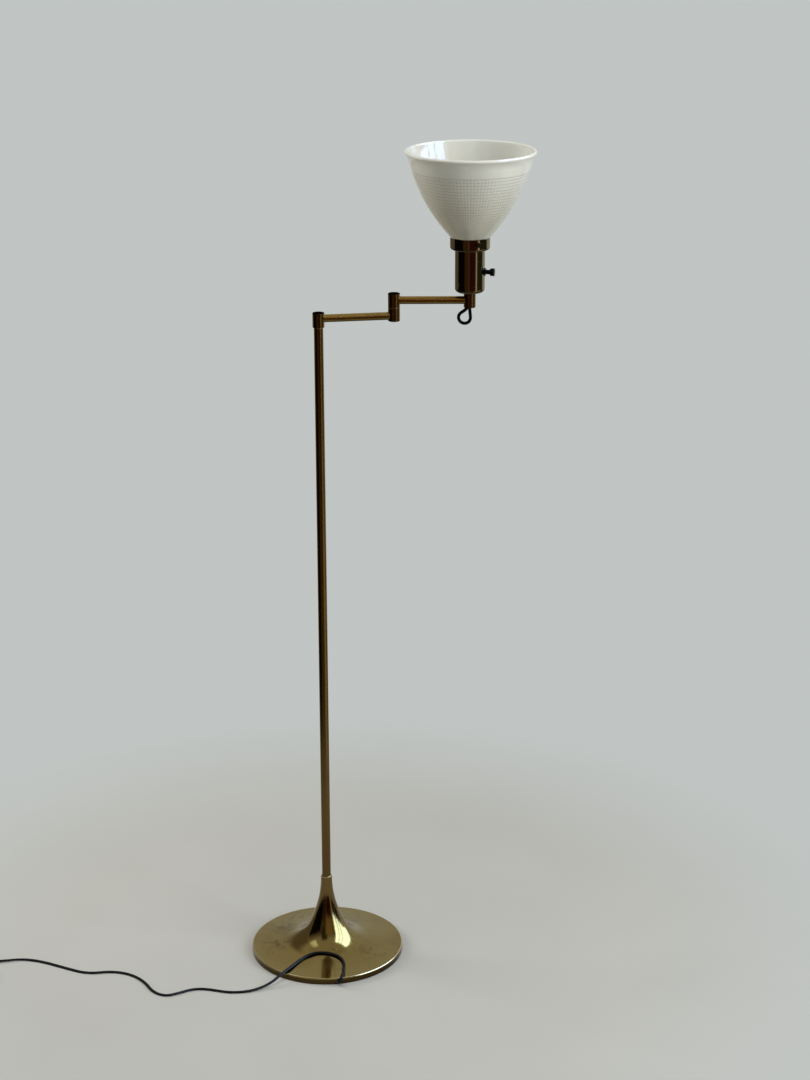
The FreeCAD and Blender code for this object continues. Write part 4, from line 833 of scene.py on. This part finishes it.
around = CELLS_ROUND * STEPS_PER_CELL
corners, faces, below = [], [], []
for radius, height, depth in section:
    for step in range(around):
        angle = 2 * math.pi * step / around
        corners.append((HEAD.x + radius * math.cos(angle), HEAD.y + radius * math.sin(angle), height))
        below.append(depth)
for ring in range(len(section)):
    following = (ring + 1) % len(section)
    for step in range(around):
        other = (step + 1) % around
        faces.append((ring * around + step, ring * around + other,
                      following * around + other, following * around + step))
glass_mesh = bpy.data.meshes.new("reflector_glass")
glass_mesh.from_pydata(corners, [], faces)
glass_mesh.attributes.new("below_groove", "FLOAT", "POINT").data.foreach_set("value", below)
face_outwards(glass_mesh)
glass_mesh.shade_smooth()
glass = bpy.data.objects.new("opal_reflector", glass_mesh)
scene.collection.objects.link(glass)

opal, tree, shader = new_finish("opal_glass", {
    "Metallic": 0.0, "Transmission Weight": 0.0, "IOR": 1.5, "Subsurface Weight": 0.6,
    "Subsurface Radius": (1.0, 0.93, 0.80), "Subsurface Scale": 0.006, "Coat Weight": 0.3,
    "Coat Roughness": 0.03})
here = object_place(tree)
warm = put(tree, "ShaderNodeTexNoise", {"Vector": here, "Scale": 18.0, "Detail": 3.0}).outputs[0]
height = put(tree, "ShaderNodeSeparateXYZ", {0: here}).outputs["Z"]
# Painted shade: the bowl is painted darker towards its foot, for less light from below.
above_lower_shade = ramp(tree, height, 1.22, 1.33)
milk = blend_colour(tree, above_lower_shade, (0.55, 0.54, 0.45, 1.0), (0.80, 0.80, 0.745, 1.0))
milk = blend_colour(tree, ramp(tree, warm, 0.35, 0.7, 0.0, 0.25), milk, (0.72, 0.71, 0.65, 1.0))
# The grooves of the pattern are painted darker, partly dust and partly painted shade, most of all the first
# one round the bowl.
groove = put(tree, "ShaderNodeAttribute", attribute_name="groove").outputs["Fac"]
first = math_node(tree, "MULTIPLY", ramp(tree, height, 1.3272, 1.3280),
                  ramp(tree, height, 1.3284, 1.3292, 1.0, 0.0))
groove_shade_share = math_node(tree, "ADD", 0.36, math_node(tree, "MULTIPLY", first, 0.45))
groove_shade_and_dust = math_node(tree, "MULTIPLY", groove, groove_shade_share)
milk = blend_colour(tree, groove_shade_and_dust, milk, (0.30, 0.285, 0.225, 1.0))
tree.links.new(milk, shader.inputs["Base Color"])
smear = put(tree, "ShaderNodeTexNoise", {"Vector": here, "Scale": 45.0, "Detail": 5.0}).outputs[0]
tree.links.new(ramp(tree, smear, 0.35, 0.7, 0.05, 0.12), shader.inputs["Roughness"])
ripple = put(tree, "ShaderNodeTexNoise", {"Vector": here, "Scale": 70.0, "Detail": 2.0}).outputs[0]
bump_from(tree, shader, ripple, 0.00006)

waffle = bpy.data.node_groups.new("pressed_waffle", "GeometryNodeTree")
waffle.interface.new_socket("Glass", in_out="INPUT", socket_type="NodeSocketGeometry")
for label, kind in (("Axis", "NodeSocketVector"), ("Cells Round", "NodeSocketFloat"),
                    ("Cell Height", "NodeSocketFloat"), ("Row Relief", "NodeSocketFloat"),
                    ("Column Relief", "NodeSocketFloat"), ("Full To", "NodeSocketFloat"),
                    ("Fades By", "NodeSocketFloat"), ("Finish", "NodeSocketMaterial")):
    waffle.interface.new_socket(label, in_out="INPUT", socket_type=kind)
waffle.interface.new_socket("Pressed", in_out="OUTPUT", socket_type="NodeSocketGeometry")
given = waffle.nodes.new("NodeGroupInput").outputs
pressed = waffle.nodes.new("NodeGroupOutput").inputs
depth = put(waffle, "GeometryNodeInputNamedAttribute", {"Name": "below_groove"},
            data_type="FLOAT").outputs[0]
spot = put(waffle, "ShaderNodeVectorMath", {0: put(waffle, "GeometryNodeInputPosition").outputs[0],
                                            1: given["Axis"]}, operation="SUBTRACT")
flat = put(waffle, "ShaderNodeSeparateXYZ", {0: spot.outputs[0]})
angle = math_node(waffle, "ARCTAN2", flat.outputs["Y"], flat.outputs["X"])
cell = math_node(waffle, "MULTIPLY", angle, math_node(waffle, "MULTIPLY", given["Cells Round"], 0.5))
ROUNDED = 0.55             # how full the pillows are between their grooves
pillow = math_node(waffle, "ABSOLUTE", math_node(waffle, "SINE", cell))
pillow = math_node(waffle, "POWER", pillow, ROUNDED)
row = math_node(waffle, "DIVIDE", math_node(waffle, "MULTIPLY", depth, math.pi), given["Cell Height"])
rung = math_node(waffle, "ABSOLUTE", math_node(waffle, "SINE", row))
rung = math_node(waffle, "POWER", rung, ROUNDED)
inside = math_node(waffle, "GREATER_THAN", depth, -0.00002)
above = ramp(waffle, math_node(waffle, "MULTIPLY", depth, -1.0), 0.0, 0.0012)
level = math_node(waffle, "ADD", math_node(waffle, "MULTIPLY", rung, inside),
                  math_node(waffle, "MULTIPLY", above, math_node(waffle, "SUBTRACT", 1.0, inside)))
fading = ramp(waffle, depth, given["Full To"], given["Fades By"], 1.0, 0.0)
row_share = math_node(waffle, "MULTIPLY", fading, math_node(waffle, "SUBTRACT", 1.0, level))
column_share = math_node(waffle, "MULTIPLY", fading, math_node(
    waffle, "MULTIPLY", inside, math_node(waffle, "SUBTRACT", 1.0, pillow)))
row_depth = math_node(waffle, "MULTIPLY", given["Row Relief"], row_share)
column_depth = math_node(waffle, "MULTIPLY", given["Column Relief"], column_share)
sunk = math_node(waffle, "MULTIPLY", -1.0, math_node(waffle, "MAXIMUM", row_depth, column_depth))
groove = math_node(waffle, "MAXIMUM", row_share, math_node(waffle, "MULTIPLY", column_share, 0.6))
push = put(waffle, "ShaderNodeVectorMath", {0: put(waffle, "GeometryNodeInputNormal").outputs[0],
                                            "Scale": sunk}, operation="SCALE")
marked = put(waffle, "GeometryNodeStoreNamedAttribute",
             {"Geometry": given["Glass"], "Name": "groove", "Value": groove},
             data_type="FLOAT", domain="POINT")
moved = put(waffle, "GeometryNodeSetPosition", {"Geometry": marked.outputs[0],
                                                "Offset": push.outputs[0]})
joined = put(waffle, "GeometryNodeRealizeInstances", {"Geometry": moved.outputs[0]})
finished = put(waffle, "GeometryNodeSetMaterial", {"Geometry": joined.outputs[0],
                                                   "Material": given["Finish"]})
waffle.links.new(finished.outputs[0], pressed["Pressed"])


def run_tree(piece, group, values):
    """Runs a Geometry Nodes tree on piece with these inputs, and keeps the result as its mesh."""
    modifier = piece.modifiers.new(group.name, "NODES")
    modifier.node_group = group
    for item in group.interface.items_tree:
        if item.in_out == "INPUT" and item.name in values:
            modifier[item.identifier] = values[item.name]
    made = bpy.data.meshes.new_from_object(piece.evaluated_get(bpy.context.evaluated_depsgraph_get()))
    piece.modifiers.remove(modifier)
    piece.data = made
    return piece


run_tree(glass, waffle, {
    "Axis": tuple(HEAD), "Cells Round": float(CELLS_ROUND), "Cell Height": CELL_HEIGHT,
    "Row Relief": ROW_RELIEF, "Column Relief": COLUMN_RELIEF, "Full To": STRONG_TO,
    "Fades By": CELL_ROWS * CELL_HEIGHT, "Finish": opal})
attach(glass, "upper_swing")
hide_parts("glass_reflector")

bulb_white, tree, shader = new_finish("frosted_bulb", {"IOR": 1.5, "Subsurface Weight": 0.3,
                                                      "Subsurface Radius": (1.0, 0.97, 0.92),
                                                      "Subsurface Scale": 0.003})
powder = put(tree, "ShaderNodeTexNoise", {"Vector": object_place(tree), "Scale": 120.0,
                                          "Detail": 4.0}).outputs[0]
tree.links.new(blend_colour(tree, powder, (0.80, 0.79, 0.75, 1.0), (0.86, 0.85, 0.82, 1.0)),
               shader.inputs["Base Color"])
tree.links.new(ramp(tree, powder, 0.3, 0.7, 0.30, 0.42), shader.inputs["Roughness"])
dress(bulb_white, "bulb_glass")

# Every node that has no finish of its own yet takes the plain one of its kind.
PLAIN_PIECES = {
    inner_brass: ("tie_pipe", "pole_foot", "pole_spindle", "elbow_pivot", "elbow_seam_washer",
                  "pole_seam_washer", "nipple", "screw_shell", "centre_contact", "switch_shaft", "bulb_cap"),
    steel: ("tie_washer", "tie_nut", "pole_pivot_washer", "pole_pivot_nut", "elbow_lower_nut",
            "elbow_pivot_washer", "elbow_upper_nut", "cup_nut"),
    phenolic: ("socket_body", "ring_nut"),
    liner_board: ("insulating_liner",),
}
for finish, names in PLAIN_PIECES.items():
    dress(finish, *names)
